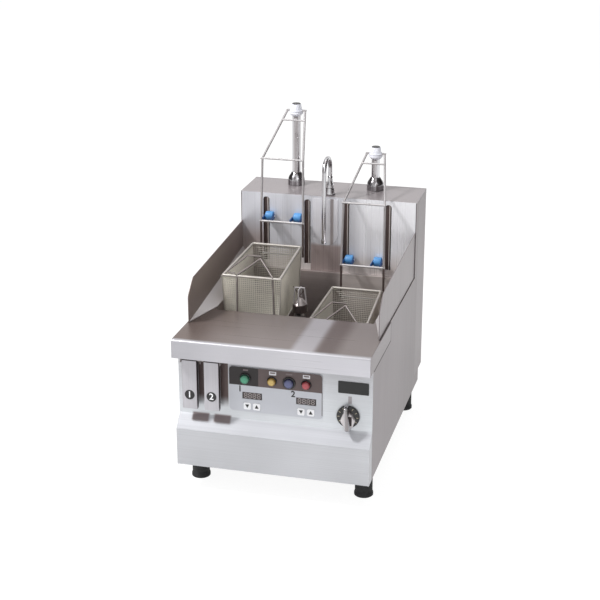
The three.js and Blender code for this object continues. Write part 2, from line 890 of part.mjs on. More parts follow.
function makeRearCover() {
  const coverTop = underHousingZ;
  const side = (sign) => block(
    [sign * (sideX - sheet), sign * sideX], [coverY, coverRearY], [plinthTopZ, coverTop],
  );
  const cover = join(
    side(-1),
    side(1),
    block([-sideX, sideX], [coverRearY - sheet, coverRearY], [plinthTopZ, coverTop]),
    block([-sideX, sideX], [coverRearY - coverFootDepth, coverRearY], [plinthTopZ, plinthTopZ + sheet]),
  );
  const through = [coverRearY - sheet - overrun, coverRearY + overrun];
  const louvres = [-1, 1].flatMap((sign) => Array.from({ length: louvreCount }, (unused, k) => {
    const z = louvreTopHeight - k * louvrePitch;
    const x = (sign * louvreSpread) / 2;
    return block([x - louvreWidth / 2, x + louvreWidth / 2], through, [z - louvreHeight, z]);
  }));
  const screwHoles = screwPlaces().map(([x, z]) => hole(
    [x, through[0], z], [x, through[1], z], screwDiameter + 2 * gap, wireSides,
  ));
  const inletHole = hole([faucetX, through[0], valveZ], [faucetX, through[1], valveZ], inletHoleDiameter);
  place('rear_cover', cut(cover, ...louvres, ...screwHoles, inletHole), steel);
}

const shelfTopZ = shelfHeight + gap;

function makeShelf() {
  const shelfRearY = coverRearY - sheet - gap;
  const shelf = join(
    block([-innerX, innerX], [housingY, shelfRearY], [shelfHeight - shelfThickness, shelfHeight]),
    block([-innerX, innerX], [housingY, housingY + shelfThickness], [shelfHeight - shelfFlange, shelfHeight]),
  );
  const pipeHole = hole(
    [faucetX, faucetY, shelfHeight - shelfThickness - overrun],
    [faucetX, faucetY, shelfHeight + overrun],
    pipeDiameter + 2 * gap,
  );
  place('actuator_shelf', cut(shelf, pipeHole), darkSteel);
}

function makeLift(x, side, drop) {
  const boreDiameter = rodDiameter + 2 * gap;
  const motorTopZ = shelfTopZ + motorHeight;
  const actuator = join(
    block(
      [x - motorWidth / 2, x + motorWidth / 2],
      [liftY - motorDepth / 2, liftY + motorDepth / 2],
      [shelfTopZ, motorTopZ],
    ),
    rod([x, liftY, motorTopZ - overrun], [x, liftY, underHousingZ], actuatorDiameter),
  );
  const bore = hole([x, liftY, actuatorBoreHeight], [x, liftY, underHousingZ + overrun], boreDiameter);
  place(`lift_actuator_${side}`, cut(actuator, bore), darkSteel);

  const seatZ = housingHeight + gap;
  place(`lift_collar_${side}`, turned([
    [boreDiameter / 2, seatZ],
    [collarDiameter / 2, seatZ],
    [collarDiameter / 2, seatZ + collarDrumHeight],
    [collarShoulderDiameter / 2, seatZ + collarShoulderRise],
    [collarCrownDiameter / 2, seatZ + collarCrownRise],
    [collarNeckDiameter / 2, seatZ + collarHeight],
    [boreDiameter / 2, seatZ + collarHeight],
    [boreDiameter / 2, seatZ],
  ], x, liftY), chrome);

  const capBottomZ = capTopHeight - capHeight - drop;
  const rodBottomZ = housingHeight - rodInsertion - drop;
  const upright = (from, to, diameter) => rod([x, liftY, from], [x, liftY, to], diameter);
  place(`lift_rod_${side}`, join(
    upright(rodBottomZ, capBottomZ - gap, rodDiameter),
    upright(rodBottomZ + rodInsertion, capBottomZ + rodStudLength, rodStudDiameter),
  ), chrome);

  const flange = capFlangeDiameter / 2;
  const neck = capNeckDiameter / 2;
  const crown = capTopDiameter / 2;
  const shoulder = capBottomZ + capShoulderHeight;
  const top = capBottomZ + capHeight;
  const socket = rodStudDiameter / 2 + gap;
  const socketZ = capBottomZ + rodStudLength + gap;
  place(`lift_cap_${side}`, turned([
    [0, socketZ],
    [socket, socketZ],
    [socket, capBottomZ],
    [capFootDiameter / 2, capBottomZ],
    [flange, capBottomZ + capShoulderHeight / 2],
    [flange, shoulder - capChamfer],
    [flange - capChamfer, shoulder],
    [neck, shoulder],
    [neck, shoulder + eyeThickness],
    [crown, top - capChamfer],
    [crown - capChamfer, top],
    [0, top],
  ], x, liftY), whitePlastic);
}

function rollerXs(x) {
  return [x + rollerShift - rollerSpacing / 2, x + rollerShift + rollerSpacing / 2];
}

function makeHanger(x, side, drop) {
  const [eye, shoulder, level] = [eyeZ - drop, shoulderZ - drop, barZ - drop];
  const footZ = rimZ - legBelowRim - drop;
  const eyeBore = capNeckDiameter / 2 + eyeClearance;
  const eyeTop = [eye - eyeThickness / 2, eye + eyeThickness / 2];
  const lug = eyeHalfWidth + hangerWire / 2;
  const plate = cut(
    join(
      rod([x, liftY, eyeTop[0]], [x, liftY, eyeTop[1]], capFlangeDiameter),
      block([x - lug, x + lug], [liftY - eyeLugDepth / 2, liftY + eyeLugDepth / 2], eyeTop),
    ),
    hole([x, liftY, eyeTop[0] - overrun], [x, liftY, eyeTop[1] + overrun], 2 * eyeBore),
  );
  const legs = [-1, 1].map((s) => bar(eased([
    [x + s * eyeHalfWidth, liftY, eye],
    [x + s * shoulderHalfWidth, hangerY, shoulder],
    [x + s * shoulderHalfWidth, hangerY, footZ],
  ], 2 * hangerWire), hangerWire));
  const crossBar = (half, y, z, wire) => bar([[x - half, y, z], [x + half, y, z]], wire);
  const upperHalf = eyeHalfWidth + (shoulderHalfWidth - eyeHalfWidth) * crossBarShare;
  const bars = [
    crossBar(upperHalf, liftY - hangerReach * crossBarShare, eye - hangerDrop * crossBarShare, braceWire),
    crossBar(shoulderHalfWidth, hangerY, shoulder - hangerWire / 2, braceWire),
    crossBar(barHalfWidth, hangerY, level, hangerWire),
    crossBar(shoulderHalfWidth, hangerY, footZ + braceWire, braceWire),
  ];
  const bottom = level - hangerWire / 2;
  const axleZ = level + rollerRise;
  const cheeks = rollerXs(x).flatMap((rx) => {
    const inside = rollerLength / 2 + gap;
    const outside = inside + sheet;
    const pin = rod(
      [rx - outside, rollerY, axleZ], [rx + outside, rollerY, axleZ], rollerPinDiameter, wireSides,
    );
    return [pin, ...[-1, 1].map((s) => block(
      [rx + s * inside, rx + s * outside],
      [hangerY, rollerY + cheekReach],
      [bottom, bottom + cheekHeight],
    ))];
  });
  place(`hanger_${side}`, join(plate, ...legs, ...bars, ...cheeks), wireSteel);

  rollerXs(x).forEach((rx, i) => {
    const reach = rollerLength / 2;
    const tread = rollerDiameter / 2;
    const bore = hole(
      [rx - reach - overrun, rollerY, axleZ],
      [rx + reach + overrun, rollerY, axleZ],
      rollerPinDiameter + 2 * gap,
    );
    const half = [
      [reach, tread - rollerShoulder],
      [reach - rollerShoulder / 4, tread - rollerShoulder / 4],
      [reach - rollerShoulder, tread],
    ];
    const rings = [...half.map(([dx, r]) => [-dx, r]), ...[...half].reverse()].map(([dx, r]) => (
      Array.from({ length: roundSides }, (unused, k) => {
        const angle = (2 * Math.PI * k) / roundSides;
        return [rx + dx, rollerY + r * Math.cos(angle), axleZ + r * Math.sin(angle)];
      })
    ));
    place(`roller_${side}_${i + 1}`, cut(loft(rings), bore), bluePlastic);
  });
}

// The four corners of the basket, drawn in from the rim by an inset.
function basketCorners(x, inset, z) {
  return [
    [x - basketLeft + rimWire / 2 + inset, rimFrontY + inset, z],
    [x + basketRightFront - rimWire / 2 - inset, rimFrontY + inset, z],
    [x + basketRightBack - rimWire / 2 - inset, rimBackY - inset, z],
    [x - basketLeft + rimWire / 2 + inset, rimBackY - inset, z],
  ];
}

function makeBasket(x, side, drop) {
  const top = rimZ - drop;
  const bottom = top - basketDepth;
  const outer = loft([basketCorners(x, basketDraft, bottom), basketCorners(x, 0, top)]);
  const inner = loft([
    basketCorners(x, basketDraft + meshThickness, bottom + meshThickness),
    basketCorners(x, meshThickness, top + overrun),
  ]);
  const rim = bar(basketCorners(x, 0, top), rimWire, wireSides, true);
  const bailY = rimFrontY - bailWire / 3;
  const bail = bar(eased([
    [x - bailLeft, bailY + basketDraft, bottom + bailWire],
    [x - bailLeft, bailY, top + rimWire],
    [x + bailPeakX, rimFrontY + bailRun, top + bailRise],
    [x + bailRight, bailY, top + rimWire],
    [x + bailRight, bailY + basketDraft, bottom + bailWire],
  ], bailWire), bailWire);
  const brace = bar([
    [x - basketLeft + rimWire / 2, rimFrontY + braceRun, top],
    [x - bailLeft, rimFrontY + rimWire / 2, top + braceRise],
  ], handleWire);
  place(`basket_${side}`, join(cut(outer, inner), rim, bail, brace), meshSteel);
}

function makeFaucet() {
  const seatZ = housingHeight + gap;
  const nutTopZ = seatZ + faucetNutHeight;
  const bore = spoutDiameter / 2 + gap;
  const socketZ = seatZ + sheet;
  place('faucet_base', turned([
    [0, seatZ - shankLength],
    [shankDiameter / 2, seatZ - shankLength],
    [shankDiameter / 2, seatZ],
    [nutBaseDiameter / 2, seatZ],
    [nutTopDiameter / 2, nutTopZ],
    [bore, nutTopZ],
    [bore, socketZ],
    [0, socketZ],
  ], faucetX, faucetY), chrome);

  const bendZ = housingHeight + riserTopRise;
  const arc = Array.from({ length: bendSteps + 1 }, (unused, k) => {
    const angle = (Math.PI * k) / bendSteps;
    return [faucetX, faucetY - bendRadius * (1 - Math.cos(angle)), bendZ + bendRadius * Math.sin(angle)];
  });
  const legY = faucetY - 2 * bendRadius;
  const pipe = bar(
    [[faucetX, faucetY, socketZ + gap], ...arc, [faucetX, legY, outletHeight]], spoutDiameter, roundSides / 2,
  );
  const coneZ = nutTopZ + gap;
  const cone = turned([
    [0, coneZ],
    [coneBaseDiameter / 2, coneZ],
    [spoutDiameter / 2, coneZ + coneHeight],
    [0, coneZ + coneHeight],
  ], faucetX, faucetY);
  const outlet = rod(
    [faucetX, legY, outletHeight], [faucetX, legY, outletHeight + outletCollarLength], outletCollarDiameter,
  );
  const mouth = hole(
    [faucetX, legY, outletHeight - overrun],
    [faucetX, legY, outletHeight + outletCollarLength],
    spoutDiameter - 2 * sheet,
    roundSides / 2,
  );
  place('faucet_spout', cut(join(pipe, cone, outlet), mouth), chrome);
}

function makePaddles() {
  const rearEdge = paddleFaceY + paddleDepth;
  paddleXs.forEach((x, i) => {
    const half = paddleWidth / 2;
    const channel = prism([
      [x - half, rearEdge],
      [x - half, paddleFaceY, paddleRadius],
      [x + half, paddleFaceY, paddleRadius],
      [x + half, rearEdge],
      [x + half - sheet, rearEdge],
      [x + half - sheet, paddleFaceY + sheet],
      [x - half + sheet, paddleFaceY + sheet],
      [x - half + sheet, rearEdge],
    ], alongZ, paddleBottomHeight, paddleTopHeight);
    const foot = block(
      [x - half + sheet / 2, x + half - sheet / 2],
      [paddleFaceY + sheet / 2, rearEdge],
      [paddleBottomHeight, paddleBottomHeight + sheet],
    );
    const pinHole = hole(
      [x - half - overrun, paddlePinY, paddlePinHeight],
      [x + half + overrun, paddlePinY, paddlePinHeight],
      paddlePinDiameter + 2 * gap,
      roundSides / 2,
    );
    place(`start_paddle_${i + 1}`, cut(join(channel, foot), pinHole), brightSteel);
  });

  const earXs = [
    paddleXs[0] - paddleWidth / 2 - bracketEarOverhang,
    (paddleXs[0] + paddleXs[1]) / 2,
    paddleXs[1] + paddleWidth / 2 + bracketEarOverhang,
  ];
  const levels = [paddlePinHeight - bracketHeight / 2, paddlePinHeight + bracketHeight / 2];
  const backY = panelY - gap;
  const ears = earXs.map((x) => block(
    [x - sheet / 2, x + sheet / 2], [paddlePinY - paddlePinDiameter, backY], levels,
  ));
  const plate = block([earXs[0] - sheet / 2, earXs[2] + sheet / 2], [backY - sheet, backY], levels);
  const pin = rod(
    [earXs[0] - sheet, paddlePinY, paddlePinHeight],
    [earXs[2] + sheet, paddlePinY, paddlePinHeight],
    paddlePinDiameter,
    wireSides,
  );
  place('paddle_bracket', join(plate, pin, ...ears), darkSteel);

  const switches = paddleXs.map((x) => join(
    block(
      [x - switchWidth / 2, x + switchWidth / 2],
      [panelBackY, panelBackY + switchDepth],
      [plungerHeight - switchHeight / 2, plungerHeight + switchHeight / 2],
    ),
    rod(
      [x, panelY - plungerReach, plungerHeight],
      [x, panelBackY + switchDepth / 2, plungerHeight],
      plungerDiameter,
      roundSides / 2,
    ),
  ));
  const strip = block(
    [paddleXs[0], paddleXs[1]],
    [panelBackY + switchDepth - sheet, panelBackY + switchDepth],
    [plungerHeight, plungerHeight + switchHeight / 2],
  );
  place('paddle_switches', join(strip, ...switches), blackPlastic);
}

function keyOutline(x, grow) {
  return roundedRectangle(
    keyLevel - keyWidth / 2 - grow, keyLevel + keyWidth / 2 + grow,
    x - keyWidth / 2 - grow, x + keyWidth / 2 + grow, keyRadius + grow,
  );
}

function displayBlock(x, grow, depth) {
  return block(
    [x - displayWidth / 2 - grow, x + displayWidth / 2 + grow],
    depth,
    [displayLevel - displayHeight / 2 - grow, displayLevel + displayHeight / 2 + grow],
  );
}

const bezelBackY = plateFaceY - gap;
const bezelFrontY = bezelBackY - bezelThickness;
const bezelEndY = bezelBackY + bezelLength;

function makeControlPlate() {
  const plate = prism(
    roundedRectangle(plateBottomHeight, plateTopHeight, plateLeftX, plateRightX, plateRadius),
    alongY, plateFaceY, plateY,
  );
  const through = [plateFaceY - overrun, plateY + overrun];
  const lampHoles = lamps.map(({ x, lens }) => hole(
    [x, through[0], lampHeight], [x, through[1], lampHeight], lens + 4 * gap + 2 * barrelWall,
  ));
  const windows = displayXs.map((x) => displayBlock(x, gap, through));
  const keyHoles = keyXs.map((x) => prism(keyOutline(x, gap), alongY, ...through));
  place('control_plate', cut(plate, ...lampHoles, ...windows, ...keyHoles), plateGrey);
}

function makeControlBoard() {
  const board = block(
    [plateLeftX + panelWindowInset, plateRightX - panelWindowInset],
    [boardY, boardY + boardThickness],
    [plateBottomHeight + panelWindowInset, displayLevel + displayHeight],
  );
  const depth = [plateFaceY + displayProud, boardY + boardThickness / 2];
  const displays = displayXs.map((x) => displayBlock(x, 0, depth));
  place('control_board', join(board, ...displays), boardGreen);
}

// A pilot lamp is one piece; a push button slides in the bore of its own bezel.
function makeLamps() {
  lamps.forEach(({ name, x, lens, bezel, colour, moves }) => {
    const bore = lens / 2 + gap;
    const barrel = bore + barrelWall;
    const flangeProfile = [
      [barrel, bezelEndY],
      [barrel, bezelBackY],
      [bezel / 2, bezelBackY],
      [bezel / 2 - bezelThickness / 3, bezelFrontY],
    ];
    const rimY = bezelFrontY - lensProud;
    const dome = Array.from({ length: domeSteps + 1 }, (unused, k) => {
      const angle = (Math.PI / 2) * (k / domeSteps);
      return [(lens / 2) * Math.sin(angle), rimY - lensDome * Math.cos(angle)];
    });
    if (!moves) {
      const lamp = [...dome, [lens / 2, bezelFrontY], ...[...flangeProfile].reverse(), [0, bezelEndY]];
      place(name, turnedBack(lamp, x, lampHeight), finish(colour, 0.3, 0));
      return;
    }
    const bezelProfile = [
      [0, bezelEndY],
      ...flangeProfile,
      [bore, bezelFrontY],
      [bore, bezelEndY - sheet],
      [0, bezelEndY - sheet],
    ];
    place(name.replace('push_button', 'button_bezel'), turnedBack(bezelProfile, x, lampHeight), blackPlastic);
    const cap = [...dome, [lens / 2, rimY + lensLength], [0, rimY + lensLength]];
    place(name, turnedBack(cap, x, lampHeight), finish(colour, 0.3, 0));
  });
}

function makeKeys() {
  const names = ['key_down_1', 'key_up_1', 'key_down_2', 'key_up_2'];
  keyXs.forEach((x, i) => {
    const cap = prism(keyOutline(x, 0), alongY, plateFaceY - keyProud, plateY + gap);
    const stem = rod([x, plateY, keyLevel], [x, boardY - keyStemGap, keyLevel], keyStemDiameter, wireSides);
    place(names[i], join(cap, stem), whitePlastic);
  });
}

function makeNameplate() {
  const outline = roundedRectangle(
    nameplateLevel - nameplateHeight / 2, nameplateLevel + nameplateHeight / 2,
    nameplateX - nameplateWidth / 2, nameplateX + nameplateWidth / 2, nameplateRadius,
  );
  place('nameplate', prism(outline, alongY, plateFaceY, plateY), plateDark);
}

function makeKnob() {
  const backY = panelY - gap;
  const dialY = backY - dialThickness;
  const tipY = dialY - gripHeight;
  const dial = turnedBack([
    [0, backY],
    [dialDiameter / 2, backY],
    [dialDiameter / 2, dialY + dialChamfer],
    [dialDiameter / 2 - dialChamfer, dialY],
    [0, dialY],
  ], knobX, knobLevel, 2 * roundSides);
  const lean = (gripTurn * Math.PI) / 180;
  const leaning = (outline, share, y) => outline.map(([dx, dz]) => [
    knobX + (dx * Math.cos(lean) - dz * Math.sin(lean)) * share,
    y,
    knobLevel + (dx * Math.sin(lean) + dz * Math.cos(lean)) * share,
  ]);
  const skirtOutline = [
    [0, -skirtFootDrop],
    [skirtLowHalfWidth, -skirtLowDrop],
    [skirtHalfWidth, -skirtWidestDrop],
    [0, skirtTopRise],
    [-skirtHalfWidth, -skirtWidestDrop],
    [-skirtLowHalfWidth, -skirtLowDrop],
  ];
  const gripOutline = [
    [-gripBottomWidth / 2, -gripBottomDrop],
    [gripBottomWidth / 2, -gripBottomDrop],
    [gripTopWidth / 2, gripTopRise],
    [-gripTopWidth / 2, gripTopRise],
  ];
  const skirt = loft([
    leaning(skirtOutline, 1, dialY + dialThickness / 2),
    leaning(skirtOutline, 1, dialY - skirtRise / 2),
    leaning(skirtOutline, skirtFaceShare, dialY - skirtRise),
  ]);
  const grip = loft([
    leaning(gripOutline, 1, dialY + dialThickness / 2),
    leaning(gripOutline, 1, dialY - gripHeight / 2),
    leaning(gripOutline, gripFaceShare, tipY),
  ]);
  const shaft = rod(
    [knobX, backY - dialThickness / 2, knobLevel],
    [knobX, backY + knobShaftLength, knobLevel],
    knobShaftDiameter,
  );
  place('control_knob', join(dial, skirt, grip, shaft), blackPlastic);

  const body = block(
    [knobX - rotaryWidth / 2, knobX + rotaryWidth / 2],
    [panelBackY, panelBackY + rotaryDepth],
    [knobLevel - rotaryWidth / 2, knobLevel + rotaryWidth / 2],
  );
  const bore = hole(
    [knobX, panelBackY - overrun, knobLevel],
    [knobX, backY + knobShaftLength + gap, knobLevel],
    knobShaftDiameter + 2 * gap,
  );
  place('rotary_switch', cut(body, bore), blackPlastic);
}

function makeOverflow() {
  const [x, y] = [overflowX, overflowY];
  const seatZ = tankFloorZ + gap;
  const floorZ = seatZ + sheet;
  const ceilingZ = strainerTopHeight - sheet;
  const throat = plugDiameter / 2 - 2 * sheet;
  const pipe = turned([
    [throat, seatZ - plugDepth],
    [plugDiameter / 2, seatZ - plugDepth],
    [plugDiameter / 2, seatZ],
    [overflowDiameter / 2, seatZ],
    [overflowDiameter / 2, ceilingZ + sheet / 2],
    [overflowBore / 2, ceilingZ + sheet / 2],
    [overflowBore / 2, floorZ],
    [throat, floorZ],
    [throat, seatZ - plugDepth],
  ], x, y);
  const slotZ = [ceilingZ - overflowSlotDrop - overflowSlotHeight, ceilingZ - overflowSlotDrop];
  const reach = overflowDiameter / 2 + overrun;
  const slots = [
    block([x - reach, x + reach], [y - overflowSlotWidth / 2, y + overflowSlotWidth / 2], slotZ),
    block([x - overflowSlotWidth / 2, x + overflowSlotWidth / 2], [y - reach, y + reach], slotZ),
  ];
  const hoodRadius = strainerDiameter / 2;
  const tipZ = strainerTopHeight + strainerConeHeight;
  const hood = turned([
    [0, ceilingZ],
    [hoodRadius - sheet, ceilingZ],
    [hoodRadius - sheet, strainerBottomHeight],
    [hoodRadius, strainerBottomHeight],
    [hoodRadius, strainerTopHeight],
    [strainerTipDiameter / 2, tipZ],
    [0, tipZ],
  ], x, y);
  const loop = (dx, dy, topZ) => bar(eased([
    [x - dx, y - dy, ceilingZ],
    [x - dx, y - dy, topZ],
    [x + dx, y + dy, topZ],
    [x + dx, y + dy, ceilingZ],
  ], handleWire), handleWire, wireSides);
  place('overflow_pipe', join(
    cut(pipe, ...slots),
    hood,
    loop(handleHalfWidth, 0, handleHeight),
    loop(0, handleHalfWidth, handleHeight - handleWire / 2),
  ), darkSteel);
}

function makeDrain() {
  const [x, y] = [overflowX, overflowY];
  const topZ = tankFloorHeight - gap;
  const endY = rearY - drainEndInset;
  const route = (over) => eased([
    [x, y, topZ + over],
    [x, y, drainLevel],
    [x, endY + over, drainLevel],
  ], drainBend, 2 * cornerSteps);
  const pipe = join(
    bar(route(0), drainDiameter, roundSides / 2),
    rod([x, y, topZ - drainFlangeThickness], [x, y, topZ], drainFlangeDiameter),
    rod([x, endY - drainThreadLength, drainLevel], [x, endY, drainLevel], drainThreadDiameter),
  );
  place('drain_pipe', cut(pipe, bar(route(overrun), drainDiameter - 2 * sheet, roundSides / 2)), steel);
}

function makeHeater() {
  const rearEndY = tankRearY + gap + headerDepth;
  const bendY = tankFrontY + heaterFrontInset + heaterHalfSpan;
  const hairpins = heaterXs.map((x) => {
    const arc = Array.from({ length: heaterBendSteps + 1 }, (unused, k) => {
      const angle = Math.PI * (1 + k / heaterBendSteps);
      return [x + heaterHalfSpan * Math.cos(angle), bendY + heaterHalfSpan * Math.sin(angle), heaterHeight];
    });
    return bar([
      [x - heaterHalfSpan, rearEndY - sheet, heaterHeight],
      ...arc,
      [x + heaterHalfSpan, rearEndY - sheet, heaterHeight],
    ], heaterDiameter);
  });
  const legs = heaterLegXs();
  const header = block(
    [Math.min(...legs) - headerMargin, Math.max(...legs) + headerMargin],
    [tankRearY + gap, rearEndY],
    [heaterHeight - headerHeight / 2, heaterHeight + headerHeight / 2],
  );
  place('heater_element', join(header, ...hairpins), darkSteel);
}

function makeWaterSupply() {
  const valveTopZ = valveLevel + valveHeight;
  place('water_pipe', rod(
    [faucetX, faucetY, valveTopZ + gap],
    [faucetX, faucetY, housingHeight - shankLength],
    pipeDiameter,
    roundSides / 2,
  ), brass);

  const [x, y] = [faucetX, faucetY];
  const side = x + valveWidth / 2;
  const depth = [y - valveDepth / 2, y + valveDepth / 2];
  const body = block([x - valveWidth / 2, side], depth, [valveLevel, valveTopZ]);
  const coil = rod([side - overrun, y, valveZ], [side + coilLength, y, valveZ], coilDiameter);
  const inlet = rod([x, y, valveZ], [x, rearY - sheet, valveZ], inletDiameter, roundSides / 2);
  const bore = hole(
    [x, rearY - inletDiameter, valveZ],
    [x, rearY + overrun, valveZ],
    inletDiameter - 4 * sheet,
    roundSides / 2,
  );
  place('solenoid_valve', cut(join(body, coil, inlet), bore), brass);
}

function makeContactor() {
  const frontEdge = panelBackY + contactorInset;
  const xs = [contactorX - contactorWidth / 2, contactorX + contactorWidth / 2];
  const ys = [frontEdge, frontEdge + contactorDepth];
  const topZ = baseTopZ + gap + contactorHeight;
  const capXs = [xs[0] + contactorCapInset, xs[1] - contactorCapInset];
  const capYs = [ys[0] + contactorCapInset, ys[1] - contactorCapInset];
  place('contactor', join(
    block(xs, ys, [baseTopZ + gap, topZ]),
    block(capXs, capYs, [topZ - overrun, topZ + contactorCapHeight]),
  ), blackPlastic);
}

function makeGland() {
  const insideY = plinthRearY - sheet - gap;
  const outsideY = plinthRearY + gap;
  const innerEndY = insideY - glandFlange;
  const outerEndY = outsideY + glandLength;
  const along = (from, to, diameter, sides) => rod(
    [glandX, from, drainLevel], [glandX, to, drainLevel], diameter, sides,
  );
  const body = join(
    along(innerEndY, outerEndY, glandDiameter, roundSides),
    along(innerEndY, insideY, glandNutDiameter, nutSides),
    along(outsideY, outsideY + glandFlange, glandNutDiameter, nutSides),
  );
  const bore = along(innerEndY - overrun, outerEndY + overrun, glandBore, roundSides / 2);
  place('cord_gland', cut(body, bore), blackPlastic);
}

makeBasePan();
makeFeet();
makeSidePanels();
makeFrontPanel();
makeWorktop();
makeTank();
makeGuards();
makeHousing();
makeGuideChannels();
makeRearCover();
makeShelf();
liftXs.forEach((x, i) => {
  makeLift(x, sideNames[i], liftDrops[i]);
  makeHanger(x, sideNames[i], liftDrops[i]);
  makeBasket(x, sideNames[i], liftDrops[i]);
});
makeFaucet();
makePaddles();
makeControlPlate();
makeControlBoard();
makeLamps();
makeKeys();
makeNameplate();
makeKnob();
makeOverflow();
makeDrain();
makeHeater();
makeWaterSupply();
makeContactor();
makeGland();

export default model;
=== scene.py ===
import math

import bmesh
import bpy
from mathutils import Matrix, Vector


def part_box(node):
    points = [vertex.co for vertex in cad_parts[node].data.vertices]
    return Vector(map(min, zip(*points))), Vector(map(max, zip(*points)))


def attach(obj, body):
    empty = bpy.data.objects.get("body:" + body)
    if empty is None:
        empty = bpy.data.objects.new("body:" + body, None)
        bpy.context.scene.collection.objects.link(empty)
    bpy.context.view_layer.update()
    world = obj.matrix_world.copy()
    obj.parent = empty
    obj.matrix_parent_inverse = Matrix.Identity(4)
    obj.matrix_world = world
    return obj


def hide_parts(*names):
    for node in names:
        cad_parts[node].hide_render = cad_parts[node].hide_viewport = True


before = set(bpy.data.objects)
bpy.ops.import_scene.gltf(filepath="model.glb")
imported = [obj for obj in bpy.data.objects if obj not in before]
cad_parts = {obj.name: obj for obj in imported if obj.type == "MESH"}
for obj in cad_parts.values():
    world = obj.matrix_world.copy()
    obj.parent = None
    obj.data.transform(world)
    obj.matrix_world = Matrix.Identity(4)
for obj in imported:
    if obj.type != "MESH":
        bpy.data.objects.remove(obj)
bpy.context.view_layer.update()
print("frame loaded:", len(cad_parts), "nodes")

# Scene objects and node trees


def placed(name, data):
    made = bpy.data.objects.new(name, data)
    bpy.context.scene.collection.objects.link(made)
    return made


# A value that is a socket is linked to its input, and any other is set.
def setInputs(tree, node, values):
    for socket, value in values.items():
        if isinstance(value, bpy.types.NodeSocket):
            tree.links.new(value, node.inputs[socket])
        else:
            node.inputs[socket].default_value = value


def added(tree, kind, values=None, **settings):
    node = tree.nodes.new(kind)
    for key, setting in settings.items():
        setattr(node, key, setting)
    setInputs(tree, node, values or {})
    return node


def computed(tree, way, *values):
    return added(tree, "ShaderNodeMath", dict(enumerate(values)), operation=way).outputs[0]


def vectorMath(tree, way, *values):
    return added(tree, "ShaderNodeVectorMath", dict(enumerate(values)), operation=way)


def remapped(tree, value, low, high, fromLow=0.25, fromHigh=0.75):
    values = {"Value": value, "From Min": fromLow, "From Max": fromHigh, "To Min": low, "To Max": high}
    return added(tree, "ShaderNodeMapRange", values).outputs[0]


def softStep(tree, value, start, end):
    values = {"Value": value, "From Min": start, "From Max": end}
    return added(tree, "ShaderNodeMapRange", values, interpolation_type="SMOOTHSTEP").outputs[0]


def mixed(tree, share, first, second, kind="RGBA"):
    values = {"Factor": share, "A": first, "B": second}
    return added(tree, "ShaderNodeMix", values, data_type=kind).outputs["Result"]


# Camera, light and floor

cameraSettings = {
    "place": (0.685, -2.6998, 1.3462),
    "turn": 14.56,  # degrees, to the left
    "tilt": 20.1,  # degrees, downwards
    "lens": 84.0,
    "sensor": 36.0,
    "clipEnd": 50,
}


def makeCamera():
    data = bpy.data.cameras.new("viewCamera")
    data.lens = cameraSettings["lens"]
    data.sensor_width = cameraSettings["sensor"]
    data.clip_end = cameraSettings["clipEnd"]
    camera = placed("viewCamera", data)
    camera.location = cameraSettings["place"]
    turn = math.radians(cameraSettings["turn"])
    camera.rotation_euler = (math.radians(90 - cameraSettings["tilt"]), 0, turn)
    bpy.context.scene.camera = camera


lightSettings = {
    "lamps": {
        "keyLamp": {"place": (-1.7, -1.0, 2.8), "size": 0.5, "power": 92},
        "fillLamp": {"place": (1.6, -2.4, 1.9), "size": 2.4, "power": 15},
        "topLamp": {"place": (0.2, 0.3, 3.2), "size": 1.6, "power": 12},
    },
    "aim": (0, 0, 0.3),
    "worldLevel": 0.5,
    "flagColour": (0.07, 0.063, 0.063),
    "flags": ((0.36, 0.6), (-0.55, -0.8)),
    "floorHalf": 12.0,
    "floorColour": (0.96, 0.96, 0.96),
    "floorPaleShare": 0.8,
    "floorGlow": 1.14,
}


def makeLamps():
    for name, settings in lightSettings["lamps"].items():
        data = bpy.data.lights.new(name, "AREA")
        data.shape = "DISK"
        data.size = settings["size"]
        data.energy = settings["power"]
        lamp = placed(name, data)
        lamp.location = settings["place"]
        aim = Vector(lightSettings["aim"]) - Vector(settings["place"])
        lamp.rotation_euler = aim.to_track_quat("-Z", "Y").to_euler()


def seenDirectly(tree):
    rays = added(tree, "ShaderNodeLightPath").outputs
    direct = computed(tree, "MAXIMUM", rays["Is Camera Ray"], rays["Is Glossy Ray"])
    return computed(tree, "MAXIMUM", direct, rays["Is Transmission Ray"])


# White, with a dark flag at each side of the room that is seen only in polished metal.
def flaggedWhite(tree):
    direction = added(tree, "ShaderNodeTexCoord").outputs["Generated"]
    side = added(tree, "ShaderNodeSeparateXYZ", {0: direction}).outputs["X"]
    shares = [softStep(tree, side, start, end) for start, end in lightSettings["flags"]]
    rays = added(tree, "ShaderNodeLightPath").outputs
    glossy = computed(tree, "MULTIPLY", computed(tree, "MAXIMUM", *shares), rays["Is Glossy Ray"])
    return mixed(tree, glossy, (1, 1, 1, 1), (*lightSettings["flagColour"], 1))


def makeWorld():
    world = bpy.data.worlds.new("paleStudio")
    world.use_nodes = True
    bpy.context.scene.world = world
    tree = world.node_tree
    tree.nodes.clear()
    dim = added(tree, "ShaderNodeBackground", {"Color": (*[lightSettings["worldLevel"]] * 3, 1)})
    pale = added(tree, "ShaderNodeBackground", {"Color": flaggedWhite(tree)})
    values = {"Fac": seenDirectly(tree), 1: dim.outputs[0], 2: pale.outputs[0]}
    mix = added(tree, "ShaderNodeMixShader", values)
    added(tree, "ShaderNodeOutputWorld", {"Surface": mix.outputs[0]})


